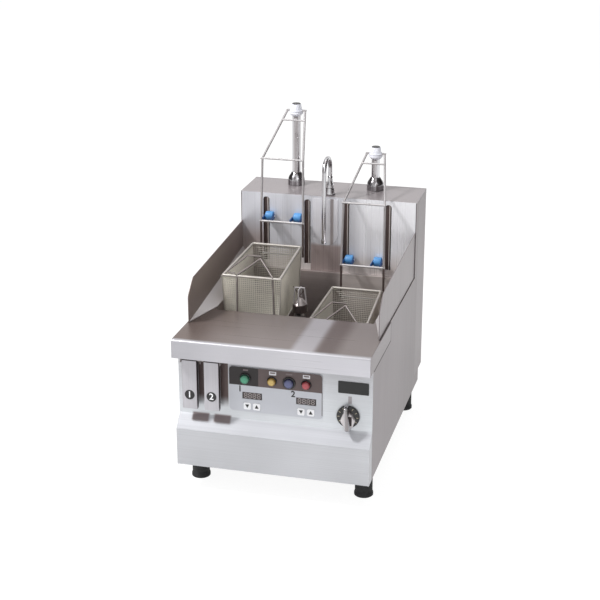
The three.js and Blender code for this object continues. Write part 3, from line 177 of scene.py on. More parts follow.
def makeFloor():
    half = lightSettings["floorHalf"]
    mesh = bpy.data.meshes.new("paleFloor")
    corners = [(-half, -half, 0), (half, -half, 0), (half, half, 0), (-half, half, 0)]
    mesh.from_pydata(corners, [], [(0, 1, 2, 3)])
    floor = placed("paleFloor", mesh)
    material = bpy.data.materials.new("paleFloor")
    material.use_nodes = True
    tree = material.node_tree
    tree.nodes.clear()
    matte = added(tree, "ShaderNodeBsdfDiffuse", {"Color": (*lightSettings["floorColour"], 1)})
    glow = added(tree, "ShaderNodeEmission", {"Color": (1, 1, 1, 1), "Strength": lightSettings["floorGlow"]})
    share = computed(tree, "MULTIPLY", seenDirectly(tree), lightSettings["floorPaleShare"])
    mix = added(tree, "ShaderNodeMixShader", {"Fac": share, 1: matte.outputs[0], 2: glow.outputs[0]})
    added(tree, "ShaderNodeOutputMaterial", {"Surface": mix.outputs[0]})
    mesh.materials.append(material)


makeCamera()
makeWorld()
makeFloor()
makeLamps()
bpy.context.scene.view_settings.view_transform = "Standard"
print("camera, light and floor made")

# Materials

finishSettings = {
    "sheetStretch": {"x": (3, 700, 700), "z": (700, 700, 3)},
    "sheetCloudScale": 5,
    "sheetBump": (0.12, 0.0002),
    "polishStretch": (160, 160, 2),
    "smudgeScale": 30,
    "wireCloudScale": 22,
    "patchScale": 14,
    "mouldedBumpDepth": 0.00015,
    "lensZ": 0.2507,
    "lensPaleShare": 0.45,
    "speckleScale": 260,
    "lensCoat": {"Roughness": 0.22, "Coat Weight": 0.5, "Coat Roughness": 0.08},
}


def tone(hexColour):
    channels = [int(hexColour[i:i + 2], 16) / 255 for i in (1, 3, 5)]
    return tuple(c / 12.92 if c <= 0.04045 else ((c + 0.055) / 1.055) ** 2.4 for c in channels) + (1,)


# A darker and a lighter form of a colour.
def tones(colour, darker, lighter, lift=0):
    base = tone(colour)[:3]
    return (*[c * darker for c in base], 1), (*[min(1, c * lighter + lift) for c in base], 1)


def startMaterial(name):
    material = bpy.data.materials.new(name)
    material.use_nodes = True
    return material, material.node_tree


def painted(material, values):
    setInputs(material.node_tree, material.node_tree.nodes["Principled BSDF"], values)
    return material


def objectPlace(tree):
    return added(tree, "ShaderNodeTexCoord").outputs["Object"]


def noise(tree, scale, detail, stretch=(1, 1, 1)):
    mapping = added(tree, "ShaderNodeMapping", {"Vector": objectPlace(tree), "Scale": stretch})
    values = {"Vector": mapping.outputs[0], "Scale": scale, "Detail": detail}
    return added(tree, "ShaderNodeTexNoise", values).outputs["Fac"]


def bump(tree, value, strength, distance):
    values = {"Height": value, "Strength": strength, "Distance": distance}
    return added(tree, "ShaderNodeBump", values).outputs[0]


# How much of a fade's colour shows: the product of its soft steps (axis, start, end) and of its bands
# (axis, low, high, softness).
def fadeShare(tree, limits):
    split = added(tree, "ShaderNodeSeparateXYZ", {0: objectPlace(tree)}).outputs
    share = None
    for axis, *spots in limits:
        steps = [spots]
        if len(spots) == 3:
            low, high, soft = spots
            steps = [(low - soft, low), (high + soft, high)]
        for start, end in steps:
            step = softStep(tree, split[axis], start, end)
            share = step if share is None else computed(tree, "MULTIPLY", share, step)
    return share


# Brushed sheet: fine lines along one axis, faint clouds, and fades of other tones across a piece, which paint
# shade, shadows, highlights and reflections onto it.
def brushedSheet(name, colour, along="x", roughness=0.34, metallic=0.5, fades=(), clouds=0.08, grain=0.07):
    material, tree = startMaterial(name)
    lines = noise(tree, 1, 4, finishSettings["sheetStretch"][along])
    base = tone(colour)
    for fadeColour, *limits in fades:
        base = mixed(tree, fadeShare(tree, limits), base, tone(fadeColour))
    cloud = noise(tree, finishSettings["sheetCloudScale"], 2)
    clouded = remapped(tree, cloud, 1 - clouds, 1 + clouds, 0.3, 0.7)
    level = computed(tree, "MULTIPLY", clouded, remapped(tree, lines, 1 - grain, 1 + grain))
    values = {0: base if fades else base[:3], "Scale": level}
    return painted(material, {
        "Base Color": added(tree, "ShaderNodeVectorMath", values, operation="SCALE").outputs[0],
        "Roughness": remapped(tree, lines, roughness - 0.06, roughness + 0.08),
        "Metallic": metallic,
        "Normal": bump(tree, lines, *finishSettings["sheetBump"]),
    })


# Polished metal with upright streaks.
def polished(name, colour, dark, roughness=0.14):
    material, tree = startMaterial(name)
    share = remapped(tree, noise(tree, 1, 2, finishSettings["polishStretch"]), 0, 1, 0.4, 0.62)
    smudges = noise(tree, finishSettings["smudgeScale"], 3)
    return painted(material, {
        "Base Color": mixed(tree, share, tone(colour), tone(dark)),
        "Roughness": remapped(tree, smudges, roughness - 0.04, roughness + 0.1),
        "Metallic": 1,
    })


# Drawn wire: an even tone with faint clouds and a soft gloss.
def drawnWire(name, colour, roughness, metallic):
    material, tree = startMaterial(name)
    clouds = noise(tree, finishSettings["wireCloudScale"], 2)
    return painted(material, {
        "Base Color": mixed(tree, remapped(tree, clouds, 0, 1), *tones(colour, 0.88, 1.1)),
        "Roughness": remapped(tree, clouds, roughness - 0.04, roughness + 0.06),
        "Metallic": metallic,
    })


# Moulded plastic or rubber: a fine grain and faint patches.
def moulded(name, colour, roughness=0.5, grainScale=900, grainStrength=0.15, patch=0.06, coat=0):
    material, tree = startMaterial(name)
    patches = noise(tree, finishSettings["patchScale"], 3)
    shades = tones(colour, 1 - patch, 1 + patch, patch / 20)
    return painted(material, {
        "Base Color": mixed(tree, remapped(tree, patches, 0, 1), *shades),
        "Roughness": remapped(tree, patches, roughness - 0.05, roughness + 0.07),
        "Coat Weight": coat,
        "Normal": bump(tree, noise(tree, grainScale, 2), grainStrength, finishSettings["mouldedBumpDepth"]),
    })


# A coloured lens: clear gloss over a body that deepens from its middle towards its edge, a painted shading of
# the lit dome.
def lensGlass(name, colour, deep, x, radius):
    material, tree = startMaterial(name)
    offset = vectorMath(tree, "SUBTRACT", objectPlace(tree), (x, 0, finishSettings["lensZ"]))
    flat = vectorMath(tree, "MULTIPLY", offset.outputs[0], (1, 0, 1))
    away = vectorMath(tree, "LENGTH", flat.outputs[0]).outputs["Value"]
    share = softStep(tree, away, radius * finishSettings["lensPaleShare"], radius)
    rim = mixed(tree, share, tone(colour), tone(deep))
    speckle = remapped(tree, noise(tree, finishSettings["speckleScale"], 2), 0, 0.2)
    base = mixed(tree, speckle, rim, tone(deep))
    return painted(material, {"Base Color": base, **finishSettings["lensCoat"]})


# The steel sheets are one stainless steel given a different base tone per piece as painted light: pieces
# facing away from the light or mirroring dark surroundings are darker, and those catching light are lighter.
# Their fades paint further shade, shadows, highlights and reflections.
looks = {
    "deck": brushedSheet("deckSteel", "#837a78", "x", 0.32, grain=0.03, fades=[
        # Painted reflection and shade on the deck: darker towards the left, a lighter and a darker band
        # across it, a painted highlight along the front lip, lighter lip and skirt faces below the top, the
        # right skirt lighter and the left darker, and the right end face darker.
        ("#6f625d", ("X", -0.02, -0.2)),
        ("#a8a4a8", ("X", 0.05, 0.08, 0.016)),
        ("#685c5a", ("X", 0.078, 0.1), ("X", -0.1, 0.115, 0.03)),
        ("#bbbabf", ("Y", -0.285, -0.2985)),
        ("#b9b8bd", ("Z", 0.331, 0.326)),
        ("#cac9cf", ("X", 0.02, 0.19), ("Z", 0.2, 0.3265, 0.004)),
        ("#aeadb2", ("X", -0.08, -0.19), ("Z", 0.2, 0.3265, 0.004)),
        ("#857d80", ("X", 0.1993, 0.1997)),
    ]),
    "front": brushedSheet("frontSteel", "#b0b1b6", "x", 0.38, 0.3, fades=[
        # Painted light and shade on the front sheet: the upright panel lighter than the slope, darkening
        # towards the lip above it as painted shadow, and the foot a little lighter.
        ("#cfd2d6", ("Z", 0.158, 0.166)),
        ("#bdbdc1", ("Z", 0.2, 0.29)),
        ("#b9babe", ("Z", 0.14, 0.132)),
        # Painted shadows: dark strips beside the two paddles, and patches on the slope below them.
        ("#574947", ("Z", 0.18, 0.21), ("X", -0.1555, -0.1405, 0.002)),
        ("#574947", ("Z", 0.18, 0.21), ("X", -0.11, -0.0955, 0.002)),
        ("#776c6d", ("X", -0.167, -0.138, 0.006), ("Z", 0.1545, 0.164, 0.005)),
        ("#776c6d", ("X", -0.1215, -0.0925, 0.006), ("Z", 0.1545, 0.164, 0.005)),
    ]),
    # Painted shade: the sides darken towards the rear. The left guard is painted lighter where it stands in
    # shade.
    "side": brushedSheet("sideSteel", "#867e81", "z", 0.36, 0.4, [("#7d7577", ("Y", -0.05, 0.2))], 0.05),
    "guard": brushedSheet("guardSteel", "#877f81", "z", 0.33, 0.4, [("#90837f", ("X", 0.02, -0.06))]),
    "gusset": brushedSheet("gussetSteel", "#c4bfbf", "z", 0.33),
    "housing": brushedSheet("housingSteel", "#d4d4da", "z", 0.3, 0.3, fades=[
        # Painted reflection and shade on the housing: lighter to the right and darker to the left, a warmer
        # lower face, a painted shadow under the splash boss, a darker lower left, a darker top and a darker
        # rear lip.
        ("#f0f0f4", ("X", 0.02, 0.1)),
        ("#bdbdc3", ("X", -0.14, -0.19)),
        ("#d8d0ce", ("Z", 0.4, 0.34)),
        ("#a59694", ("Z", 0.402, 0.388), ("X", -0.036, 0.034, 0.004)),
        ("#a79b99", ("Z", 0.45, 0.39), ("X", -0.2, -0.15, 0.01)),
        ("#938c8e", ("Z", 0.5042, 0.5049)),
        ("#8b8486", ("Y", 0.285, 0.296)),
    ], grain=0.032),
    # The splash boss is painted brighter than the housing as painted reflection, with a painted shadow of the
    # spout leg beside it.
    "boss": brushedSheet("bossSteel", "#e2e1e7", "z", 0.2, 0.35, fades=[
        ("#a8a0a0", ("X", 0.004, 0.009), ("X", -0.05, 0.012, 0.004)),
    ]),
    "cover": brushedSheet("coverSteel", "#8b8486", "z", 0.38),
    "tank": brushedSheet("tankSteel", "#9c918f", "x", 0.34, 0.4, fades=[
        # Painted light on the right part of the tank's back wall, and painted shade darkening towards its
        # floor.
        ("#c8bfbc", ("Y", 0.125, 0.155), ("X", 0.04, 0.2, 0.02)),
        ("#8a7e7c", ("Z", 0.31, 0.2)),
    ]),
    "paddle": brushedSheet("paddleSteel", "#b3b1b6", "z", 0.32, 0.3, fades=[
        # Painted shade on the paddles: a dark shadow line along the top under the lip, a darker left side on
        # the first paddle, and dark right flanks fading downwards.
        ("#2a2224", ("Z", 0.2843, 0.2851)),
        ("#6a6164", ("X", -0.1834, -0.184)),
        ("#2f2628", ("Z", 0.178, 0.192), ("X", -0.1539, -0.15, 0.0003)),
        ("#2f2628", ("Z", 0.178, 0.192), ("X", -0.1084, -0.1, 0.0003)),
    ]),
    "inner": brushedSheet("innerSteel", "#86807f", "x", 0.42),
    # Painted shade: the guide channels are dark inside, with a light strip in each as a painted highlight.
    "groove": brushedSheet("grooveSteel", "#6a5b58", "z", 0.34, fades=[
        ("#cdc4c0", ("X", x, x + 0.002, 0.0003), ("Y", 0.17, 0.1804, 0.0004))
        for x in (-0.1375, -0.0435, 0.044, 0.138)
    ]),
    "chrome": polished("chromePolish", "#d2d2d5", "#8f8a8b"),
    "hub": brushedSheet("hubSteel", "#c4bfc0", "z", 0.25, 0.6, fades=[
        # Painted reflection: a black patch on the right of the knob skirt. The skirt is also darker towards
        # its top.
        ("#2e2728", ("X", 0.1545, 0.159, 0.001), ("Z", 0.178, 0.196, 0.002)),
        ("#5a5152", ("Z", 0.198, 0.206)),
    ]),
    "collar": polished("collarPolish", "#c6c5c8", "#6d6768"),
    "rod": polished("rodPolish", "#d8d8db", "#a39e9f", 0.07),
    "spout": polished("spoutPolish", "#d6d6d9", "#9a9596"),
    "wire": drawnWire("wireSteel", "#c2bfc0", 0.3, 0.6),
    # The bails and the deep wire are darker tones of the same drawn steel wire, as painted shade. The deep
    # tone goes on the hanger legs and strainer braces.
    "bail": drawnWire("bailSteel", "#7d7573", 0.48, 0.25),
    "rim": drawnWire("rimSteel", "#b6b1ab", 0.42, 0.35),
    "wireGrey": drawnWire("wireGreySteel", "#a5a1a2", 0.42, 0.35),
    "wireDeep": drawnWire("wireDeepSteel", "#5b4f4d", 0.35, 0.5),
    "mesh": brushedSheet("meshSteel", "#dfdbd0", "x", 0.42, 0.3, grain=0.12, fades=[
        # Painted shade: the basket mesh darkens towards the rear, less so in the right basket.
        ("#bdb8ae", ("Y", -0.09, 0.1)),
        ("#cfcac1", ("Y", -0.02, 0.1), ("X", 0.02, 0.2, 0.01)),
    ]),
    "strainer": brushedSheet("strainerSteel", "#4c4342", "z", 0.3, 0.6, [("#a39b9a", ("Z", 0.3415, 0.343))]),
    "rubber": moulded("footRubber", "#1d1d1f", 0.7, 500, 0.3),
    "black": moulded("blackPlastic", "#1f1d1e", 0.42),
    "dial": moulded("dialBlack", "#161516", 0.32, coat=0.2),
    # Painted shadow: the colour of the dark strips laid along gaps where shade falls.
    "paintedShadow": moulded("jointSealant", "#3b3232", 0.6),
    "capWhite": moulded("capWhite", "#e3e4ec", 0.42, patch=0.03),
    "keyWhite": moulded("keyWhite", "#eeeef1", 0.4, patch=0.02),
    "blue": moulded("rollerBlue", "#4e8cc4", 0.45, patch=0.12),
    "blueDeep": moulded("rollerBlueDeep", "#24518c", 0.5, patch=0.12),
    "plate": moulded("plateGrey", "#c0c2c9", 0.5, 1400, 0.05, 0.02),
    "band": moulded("plateBrown", "#5a4c4b", 0.42, 1400, 0.05, 0.04),
    "bandDark": moulded("plateBrownDark", "#1d1617", 0.42, 1400, 0.05, 0.04),
    "screen": moulded("screenDark", "#2b201f", 0.3, 600, 0.02),
    "digit": moulded("digitPale", "#b5acac"),
    "nameplate": moulded("nameplateDark", "#141515", 0.34),
    "brass": polished("valveBrass", "#b5924f", "#7a5f2e", 0.28),
    "green": lensGlass("lensGreen", "#3f9c78", "#175640", -0.0591, 0.0095),
    "yellow": lensGlass("lensYellow", "#cfb163", "#8a6a2a", -0.0041, 0.00825),
    "blueLens": lensGlass("lensBlue", "#565b86", "#2c2f50", 0.0308, 0.00975),
    "red": lensGlass("lensRed", "#b4464e", "#6e1a20", 0.0658, 0.0085),
    "whiteMark": moulded("whiteMark", "#f2f2f4", patch=0.01),
    "greyMark": moulded("greyMark", "#dcdce0", patch=0.01),
    "captionBar": moulded("captionBar", "#75696a", patch=0.02),
    "dialMark": moulded("dialMark", "#a39a86", patch=0.02),
    "indexMark": moulded("indexMark", "#a09b9e", patch=0.02),
    "blackMark": moulded("blackMark", "#141313"),
}
print("materials made:", len(looks))

# Shapes, drawn in millimetres

shapeSettings = {
    "mergeAngle": 0.002,
    "bevelSegments": 2,
    "bevelAngle": math.radians(30),
    "letterThickness": 0.12,
    "letterSize": 1 / 690,  # of the font for each millimetre of height
    "cutMargin": 2,
    "order": {"x": (2, 0, 1), "y": (0, 2, 1), "z": (0, 1, 2)},
}


# The arc that eases a corner: its centre, and its two ends seen from there.
def cornerArc(here, back, ahead, half, radius):
    centre = here + (back + ahead).normalized() * (radius / math.sin(half))
    reach = radius / math.tan(half)
    return centre, here + back * reach - centre, here + ahead * reach - centre


def roundCorners(points, steps=6):
    rounded = []
    for i, point in enumerate(points):
        here = Vector(point[:2])
        radius = point[2] if len(point) > 2 else 0
        if radius <= 0:
            rounded.append(here)
            continue
        back = (Vector(points[i - 1][:2]) - here).normalized()
        ahead = (Vector(points[(i + 1) % len(points)][:2]) - here).normalized()
        half = math.acos(max(-1, min(1, back.dot(ahead)))) / 2
        centre, start, end = cornerArc(here, back, ahead, half, radius)
        first = math.atan2(start.y, start.x)
        sweep = (math.atan2(end.y, end.x) - first + math.pi) % (2 * math.pi) - math.pi
        for k in range(steps + 1):
            angle = first + sweep * k / steps
            rounded.append(centre + Vector((math.cos(angle), math.sin(angle))) * radius)
    return rounded


def rectangle(low, high, radius=0):
    spots = ((low[0], low[1]), (high[0], low[1]), (high[0], high[1]), (low[0], high[1]))
    return [(*spot, radius) for spot in spots]


def centred(x, z, wide, tall, radius=0):
    return rectangle((x - wide / 2, z - tall / 2), (x + wide / 2, z + tall / 2), radius)


# The outline of a box seen from the front.
def frontOutline(low, high, radius, grow=0):
    return rectangle((low[0] - grow, low[2] - grow), (high[0] + grow, high[2] + grow), radius)


# Profiles for turned: a plain drum, and one with chamfered edges.
def drum(radius, start, end, bore=0):
    return [(bore, start), (radius, start), (radius, end), (bore, end)]


def easedDrum(radius, start, end, bore, cut, drop):
    edge = [(bore, 0), (radius - cut, 0), (radius, drop)]
    return [(r, start + d) for r, d in edge] + [(r, end - d) for r, d in reversed(edge)]


# A shell of quads between rings of equal corner counts; its ends are closed, or joined to each other.
def skinned(rings, looped=False):
    solid = bmesh.new()
    made = [[solid.verts.new(corner) for corner in ring] for ring in rings]
    count = len(made[0])
    for near, far in zip(made, made[1:] + made[:1] if looped else made[1:]):
        for k in range(count):
            solid.faces.new((near[k], near[(k + 1) % count], far[(k + 1) % count], far[k]))
    if not looped:
        solid.faces.new(made[0])
        solid.faces.new(made[-1])
    bmesh.ops.recalc_face_normals(solid, faces=solid.faces[:])
    return solid


# Pulls an outline along "x" (outline in y, z), "y" (outline in x, z) or "z" (outline in x, y).
def pulled(outline, axis, start, end, steps=6):
    order, flat = shapeSettings["order"][axis], roundCorners(outline, steps)
    return skinned([[[(p.x, p.y, depth)[k] for k in order] for p in flat] for depth in (start, end)])


def block(low, high):
    return pulled(rectangle(low[:2], high[:2]), "z", low[2], high[2])


# Turns a profile of (radius, distance) about a line along an axis through a centre.
def turned(profile, centre, axis="z", steps=64, loop=False):
    solid = bmesh.new()
    rings = []
    for radius, along in profile:
        spots = 1 if radius < 1e-7 else steps
        ring = []
        for k in range(spots):
            angle = 2 * math.pi * k / steps
            spot = (centre[0] + radius * math.cos(angle), centre[1] + radius * math.sin(angle), along)
            ring.append(solid.verts.new([spot[k] for k in shapeSettings["order"][axis]]))
        rings.append(ring)
    pairs = list(zip(rings, rings[1:])) + ([(rings[-1], rings[0])] if loop else [])
    for near, far in pairs:
        for k in range(steps):
            corners = []
            for ring, spot in ((near, k), (near, k + 1), (far, k + 1), (far, k)):
                corner = ring[spot % len(ring)]
                if corner not in corners:
                    corners.append(corner)
            if len(corners) > 2:
                solid.faces.new(corners)
    bmesh.ops.recalc_face_normals(solid, faces=solid.faces[:])
    return solid


def easedRoute(route, radius, steps=6):
    points = [Vector(point) for point in route]
    out = [points[0]]
    for before, here, after in zip(points, points[1:], points[2:]):
        back, ahead = (before - here).normalized(), (after - here).normalized()
        half = back.angle(ahead) / 2
        if half > math.pi / 2 - 0.01:
            out.append(here)
            continue
        centre, start, end = cornerArc(here, back, ahead, half, radius)
        for k in range(steps + 1):
            out.append(centre + start.slerp(end, k / steps))
    out.append(points[-1])
    return out


# A round wire along a route; a closed one joins its ends.
def wire(route, diameter, sides=10, closed=False):
    points = [Vector(point) for point in route]
    count = len(points)
    runs = [(points[(i + 1) % count] - points[i]).normalized() for i in range(count)]
    first = runs[-1] if closed else runs[0]
    helper = Vector((0, 0, 1)) if abs(first.z) < 0.5 else Vector((1, 0, 0))
    side = first.cross(helper).normalized()
    turn = [Matrix.Rotation(2 * math.pi * k / sides, 3, first) @ side * (diameter / 2) for k in range(sides)]
    rings = []
    for i in range(count):
        before = runs[i - 1] if i > 0 or closed else runs[0]
        after = runs[i] if i < count - 1 or closed else before
        mitre = (before + after).normalized()
        ring = []
        for k in range(sides):
            corner = turn[k] - before * (turn[k].dot(mitre) / before.dot(mitre))
            turn[k] = corner - after * (corner.dot(after))
            ring.append(points[i] + corner)
        rings.append(ring)
    return skinned(rings, closed)


def nodeBox(node):
    low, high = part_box(node)
    return [value * 1000 for value in low], [value * 1000 for value in high]


# A finished piece is in metres.
def meshObject(name, solids, scale=0.001):
    whole = bmesh.new()
    for solid in solids:
        part = bpy.data.meshes.new(name)
        solid.to_mesh(part)
        solid.free()
        whole.from_mesh(part)
        bpy.data.meshes.remove(part)
    mesh = bpy.data.meshes.new(name)
    whole.to_mesh(mesh)
    whole.free()
    mesh.transform(Matrix.Scale(scale, 4))
    return placed(name, mesh)


def bakedMesh(made):
    bpy.context.view_layer.update()
    return bpy.data.meshes.new_from_object(made.evaluated_get(bpy.context.evaluated_depsgraph_get()))


def worked(solid, others, way):
    base = meshObject("worked", [solid], 1)
    tools = [meshObject("tool", [other], 1) for other in others]
    for tool in tools:
        step = base.modifiers.new("step", "BOOLEAN")
        step.operation = way
        step.solver = "EXACT"
        step.object = tool
    result = bmesh.new()
    result.from_mesh(bakedMesh(base))
    for gone in [base, *tools]:
        bpy.data.objects.remove(gone)
    limit = shapeSettings["mergeAngle"]
    bmesh.ops.dissolve_limit(result, angle_limit=limit, verts=result.verts[:], edges=result.edges[:])
    return result


def carved(solid, *tools):
    return worked(solid, tools, "DIFFERENCE")


def fused(solid, *others):
    return worked(solid, others, "UNION")


def finishPiece(made, look, body, stands=(), edge=0.0, smooth=35):
    mesh = made.data
    mesh.materials.clear()
    mesh.materials.append(looks[look])
    mesh.shade_smooth()
    mesh.set_sharp_from_angle(angle=math.radians(smooth))
    if edge > 0:
        bevel = made.modifiers.new("softEdges", "BEVEL")
        bevel.width = edge / 1000
        bevel.segments = shapeSettings["bevelSegments"]
        bevel.limit_method = "ANGLE"
        bevel.angle_limit = shapeSettings["bevelAngle"]
        bevel.harden_normals = True
    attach(made, body)
    if stands:
        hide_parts(*stands)


def piece(name, solids, look, body, stands=(), edge=0.0, smooth=35):
    finishPiece(meshObject(name, solids), look, body, stands, edge, smooth)


def lettering(name, text, height, place, look, body, weight):
    curve = bpy.data.curves.new(name, "FONT")
    curve.body = text
    curve.size = height * shapeSettings["letterSize"]
    curve.align_x = "CENTER"
    curve.align_y = "CENTER"
    curve.extrude = shapeSettings["letterThickness"] / 2000
    curve.offset = weight / 1000
    written = placed(name, curve)
    mesh = bakedMesh(written)
    bpy.data.objects.remove(written)
    mesh.transform(Matrix.Translation(Vector(place) / 1000) @ Matrix.Rotation(math.pi / 2, 4, "X"))
    finishPiece(placed(name, mesh), look, body)


print("helpers ready")

# Body

shellSettings = {
    "sheet": 1.5,
    "gap": 0.3,
    "lipReturn": 12,
    "lipRadius": 4,
    "mouthY": -115,
    "tankHalf": 167,
    "slopeTop": 163.5,
    "slopeBottom": 136,
    "panelY": -265,
    "bendRadius": 2,
    "frontCut": (-268, -261),
    "windowX": (-89.5, 95.5),
    "windowZ": (183, 272.5),
    "shaftHole": (150.2, 193, 5),
    "plungerHoles": ((-169, 202, 3.8), (-123.5, 202, 3.8)),
    "edge": 0.5,
    "sideEdge": 0.35,
}


def crossHole(x, z, radius, start, end):
    return turned(drum(radius, start, end), (x, z), "y", 32)


def makeWorktop():
    shell = shellSettings
    low, high = nodeBox("worktop")
    sheet, tip = shell["sheet"], shell["lipReturn"]
    section = [
        (low[1] + tip, low[2]), (low[1], low[2]), (low[1], high[2], shell["lipRadius"]),
        (shell["mouthY"], high[2]), (shell["mouthY"], high[2] - sheet),
        (low[1] + sheet, high[2] - sheet, shell["lipRadius"] - sheet), (low[1] + sheet, low[2] + sheet),
        (low[1] + tip, low[2] + sheet),
    ]
    skirt = [(low[1], low[2]), (high[1], low[2]), (high[1], high[2]), (low[1], high[2], shell["lipRadius"])]
    top = pulled(section, "x", low[0], high[0])
    parts = []
    for side in (-1, 1):
        outer = side * high[0]
        parts.append(pulled(skirt, "x", outer - side * sheet, outer))
        inner = sorted((side * shell["tankHalf"], outer))
        parts.append(block((inner[0], shell["mouthY"] - 2, high[2] - sheet), (inner[1], high[1], high[2])))
    piece("worktopSheet", [fused(top, *parts)], "deck", "chassis", ["worktop"], shell["edge"])


def makeFrontPanel():
    shell = shellSettings
    low, high = nodeBox("front_panel")
    sheet, panelY = shell["sheet"], shell["panelY"]
    top, bottom = shell["slopeTop"], shell["slopeBottom"]
    rear, bend = panelY + sheet, shell["bendRadius"]
    section = [
        (panelY, high[2]), (panelY, top, bend), (low[1], bottom, bend), (low[1], low[2], 1),
        (rear, low[2]), (rear, low[2] + sheet), (low[1] + sheet, low[2] + sheet),
        (low[1] + sheet, bottom), (rear, top), (rear, high[2]),
    ]
    cheek = [(low[1], low[2]), (rear, low[2]), (rear, top), (panelY, top), (low[1], bottom)]
    folded = fused(
        pulled(section, "x", low[0], high[0]),
        pulled(cheek, "x", low[0], low[0] + sheet),
        pulled(cheek, "x", high[0] - sheet, high[0]),
    )
    (left, right), (sill, head), (near, far) = shell["windowX"], shell["windowZ"], shell["frontCut"]
    window = block((left, near, sill), (right, far, head))
    holes = [crossHole(*place, near, far) for place in (shell["shaftHole"], *shell["plungerHoles"])]
    piece(
        "frontSheet", [carved(folded, window, *holes)], "front", "chassis",
        ["front_panel"], shell["edge"],
    )


def makeSidePanels():
    gap = shellSettings["gap"]
    for name in ("side_panel_left", "side_panel_right"):
        low, high = nodeBox(name)
        cover = nodeBox("rear_cover")[0]
        deckZ = nodeBox("worktop")[1][2] - shellSettings["sheet"] - gap
        faceY = housingSettings["faceY"]
        outline = [
            (low[1], low[2]), (high[1], low[2]), (high[1], cover[2] - gap),
            (cover[1] - gap, cover[2] - gap), (cover[1] - gap, high[2]), (faceY, high[2]), (faceY, deckZ),
            (low[1], deckZ),
        ]
        plate = pulled(outline, "x", low[0], high[0])
        piece(name + "Sheet", [plate], "side", "chassis", [name], shellSettings["sideEdge"])


shadowStripSettings = {
    "guardRun": (-201, 176),
    "rise": 1.5,
    "proud": 0.9,
    "skirtRise": 2.6,
    "skirtRun": (-262.6, -98.6),
}


# Painted shadow: dark strips under the guards and round the skirts of the worktop, laid where shade falls in
# the gaps.
def makeSeams():
    shadow, (low, high) = shadowStripSettings, nodeBox("worktop")
    panel, edge = nodeBox("side_panel_right")[1][0] + 0.02, high[0] - 0.1
    for side, name in ((-1, "left"), (1, "right")):
        guardBox = nodeBox("splash_guard_" + name)
        outer = guardBox[1][0] if side > 0 else -guardBox[0][0]
        rear = high[1] + shadow["skirtRise"]
        strips = (
            (outer - 0.8, outer + shadow["proud"], *shadow["guardRun"], high[2] + 0.02, high[2] + shadow["rise"]),
            (panel, edge, *shadow["skirtRun"], low[2] - shadow["skirtRise"], low[2] + 0.1),
            (panel, edge, high[1] + 0.02, rear, low[2] - shadow["skirtRise"], high[2] - shellSettings["gap"]),
        )
        solids = []
        for x1, x2, y1, y2, z1, z2 in strips:
            near, far = sorted((side * x1, side * x2))
            solids.append(block((near, y1, z1), (far, y2, z2)))
        piece("jointSeams" + name.title(), solids, "paintedShadow", "chassis")


guardSettings = {
    "chinRise": 57.7,
    "chinRadius": 18,
    "noseRise": 86.2,
    "noseRun": 34,
    "topRadius": 8,
    "gussetWidth": 27,
    "gussetRear": 44,
    "gussetSteps": 16,
    "skirtEndY": -100,
    "edge": 0.5,
}


def makeGuards():
    guard, sheet = guardSettings, shellSettings["sheet"]
    for name, side in (("splash_guard_left", -1), ("splash_guard_right", 1)):
        low, high = nodeBox(name)
        plate = [
            (low[1], low[2]), (high[1], low[2]), (high[1], high[2]),
            (low[1] + guard["noseRun"], low[2] + guard["noseRise"], guard["topRadius"]),
            (low[1], low[2] + guard["chinRise"], guard["chinRadius"]),
        ]
        outer = high[0] if side > 0 else -low[0]
        middle, toe = outer - sheet / 2, outer - sheet - guard["gussetWidth"]
        wall = pulled(plate, "x", side * (outer - sheet), side * outer, 10)
        rings = []
        for k in range(guard["gussetSteps"] + 1):
            share = k / guard["gussetSteps"]
            outerY = low[1] + sheet + (high[1] - low[1] - sheet) * share
            toeY = guard["skirtEndY"] + (high[1] - guard["skirtEndY"]) * share
            rings.append([
                (side * middle, outerY, low[2] + 0.05), (side * toe, toeY, low[2] + 0.05),
                (side * toe, toeY, low[2] + sheet),
                (side * middle, outerY, low[2] + sheet + guard["gussetRear"] * share),
            ])
        piece(name + "Sheet", [wall], "guard", "chassis", [name], guard["edge"])
        piece(name + "Gusset", [skinned(rings)], "gusset", "chassis")


housingSettings = {
    "faceHalf": 196.4,
    "faceY": 178,
    "slotWidth": 14,
    "slotXs": (-139.5, -45.5, 42, 136),
    "slotZ": (347, 495),
    "slotRadius": 6,
    "rodHoles": ((-92.5, 262, 11.3), (89, 262, 11.3)),
    "faucetHole": (1, 197, 6.8),
    "boss": {"x": -5, "width": 57, "bottom": 393, "topDrop": 4, "radius": 25, "edge": 0.7},
    "rearLip": 11.5,
    "edge": 0.6,
}


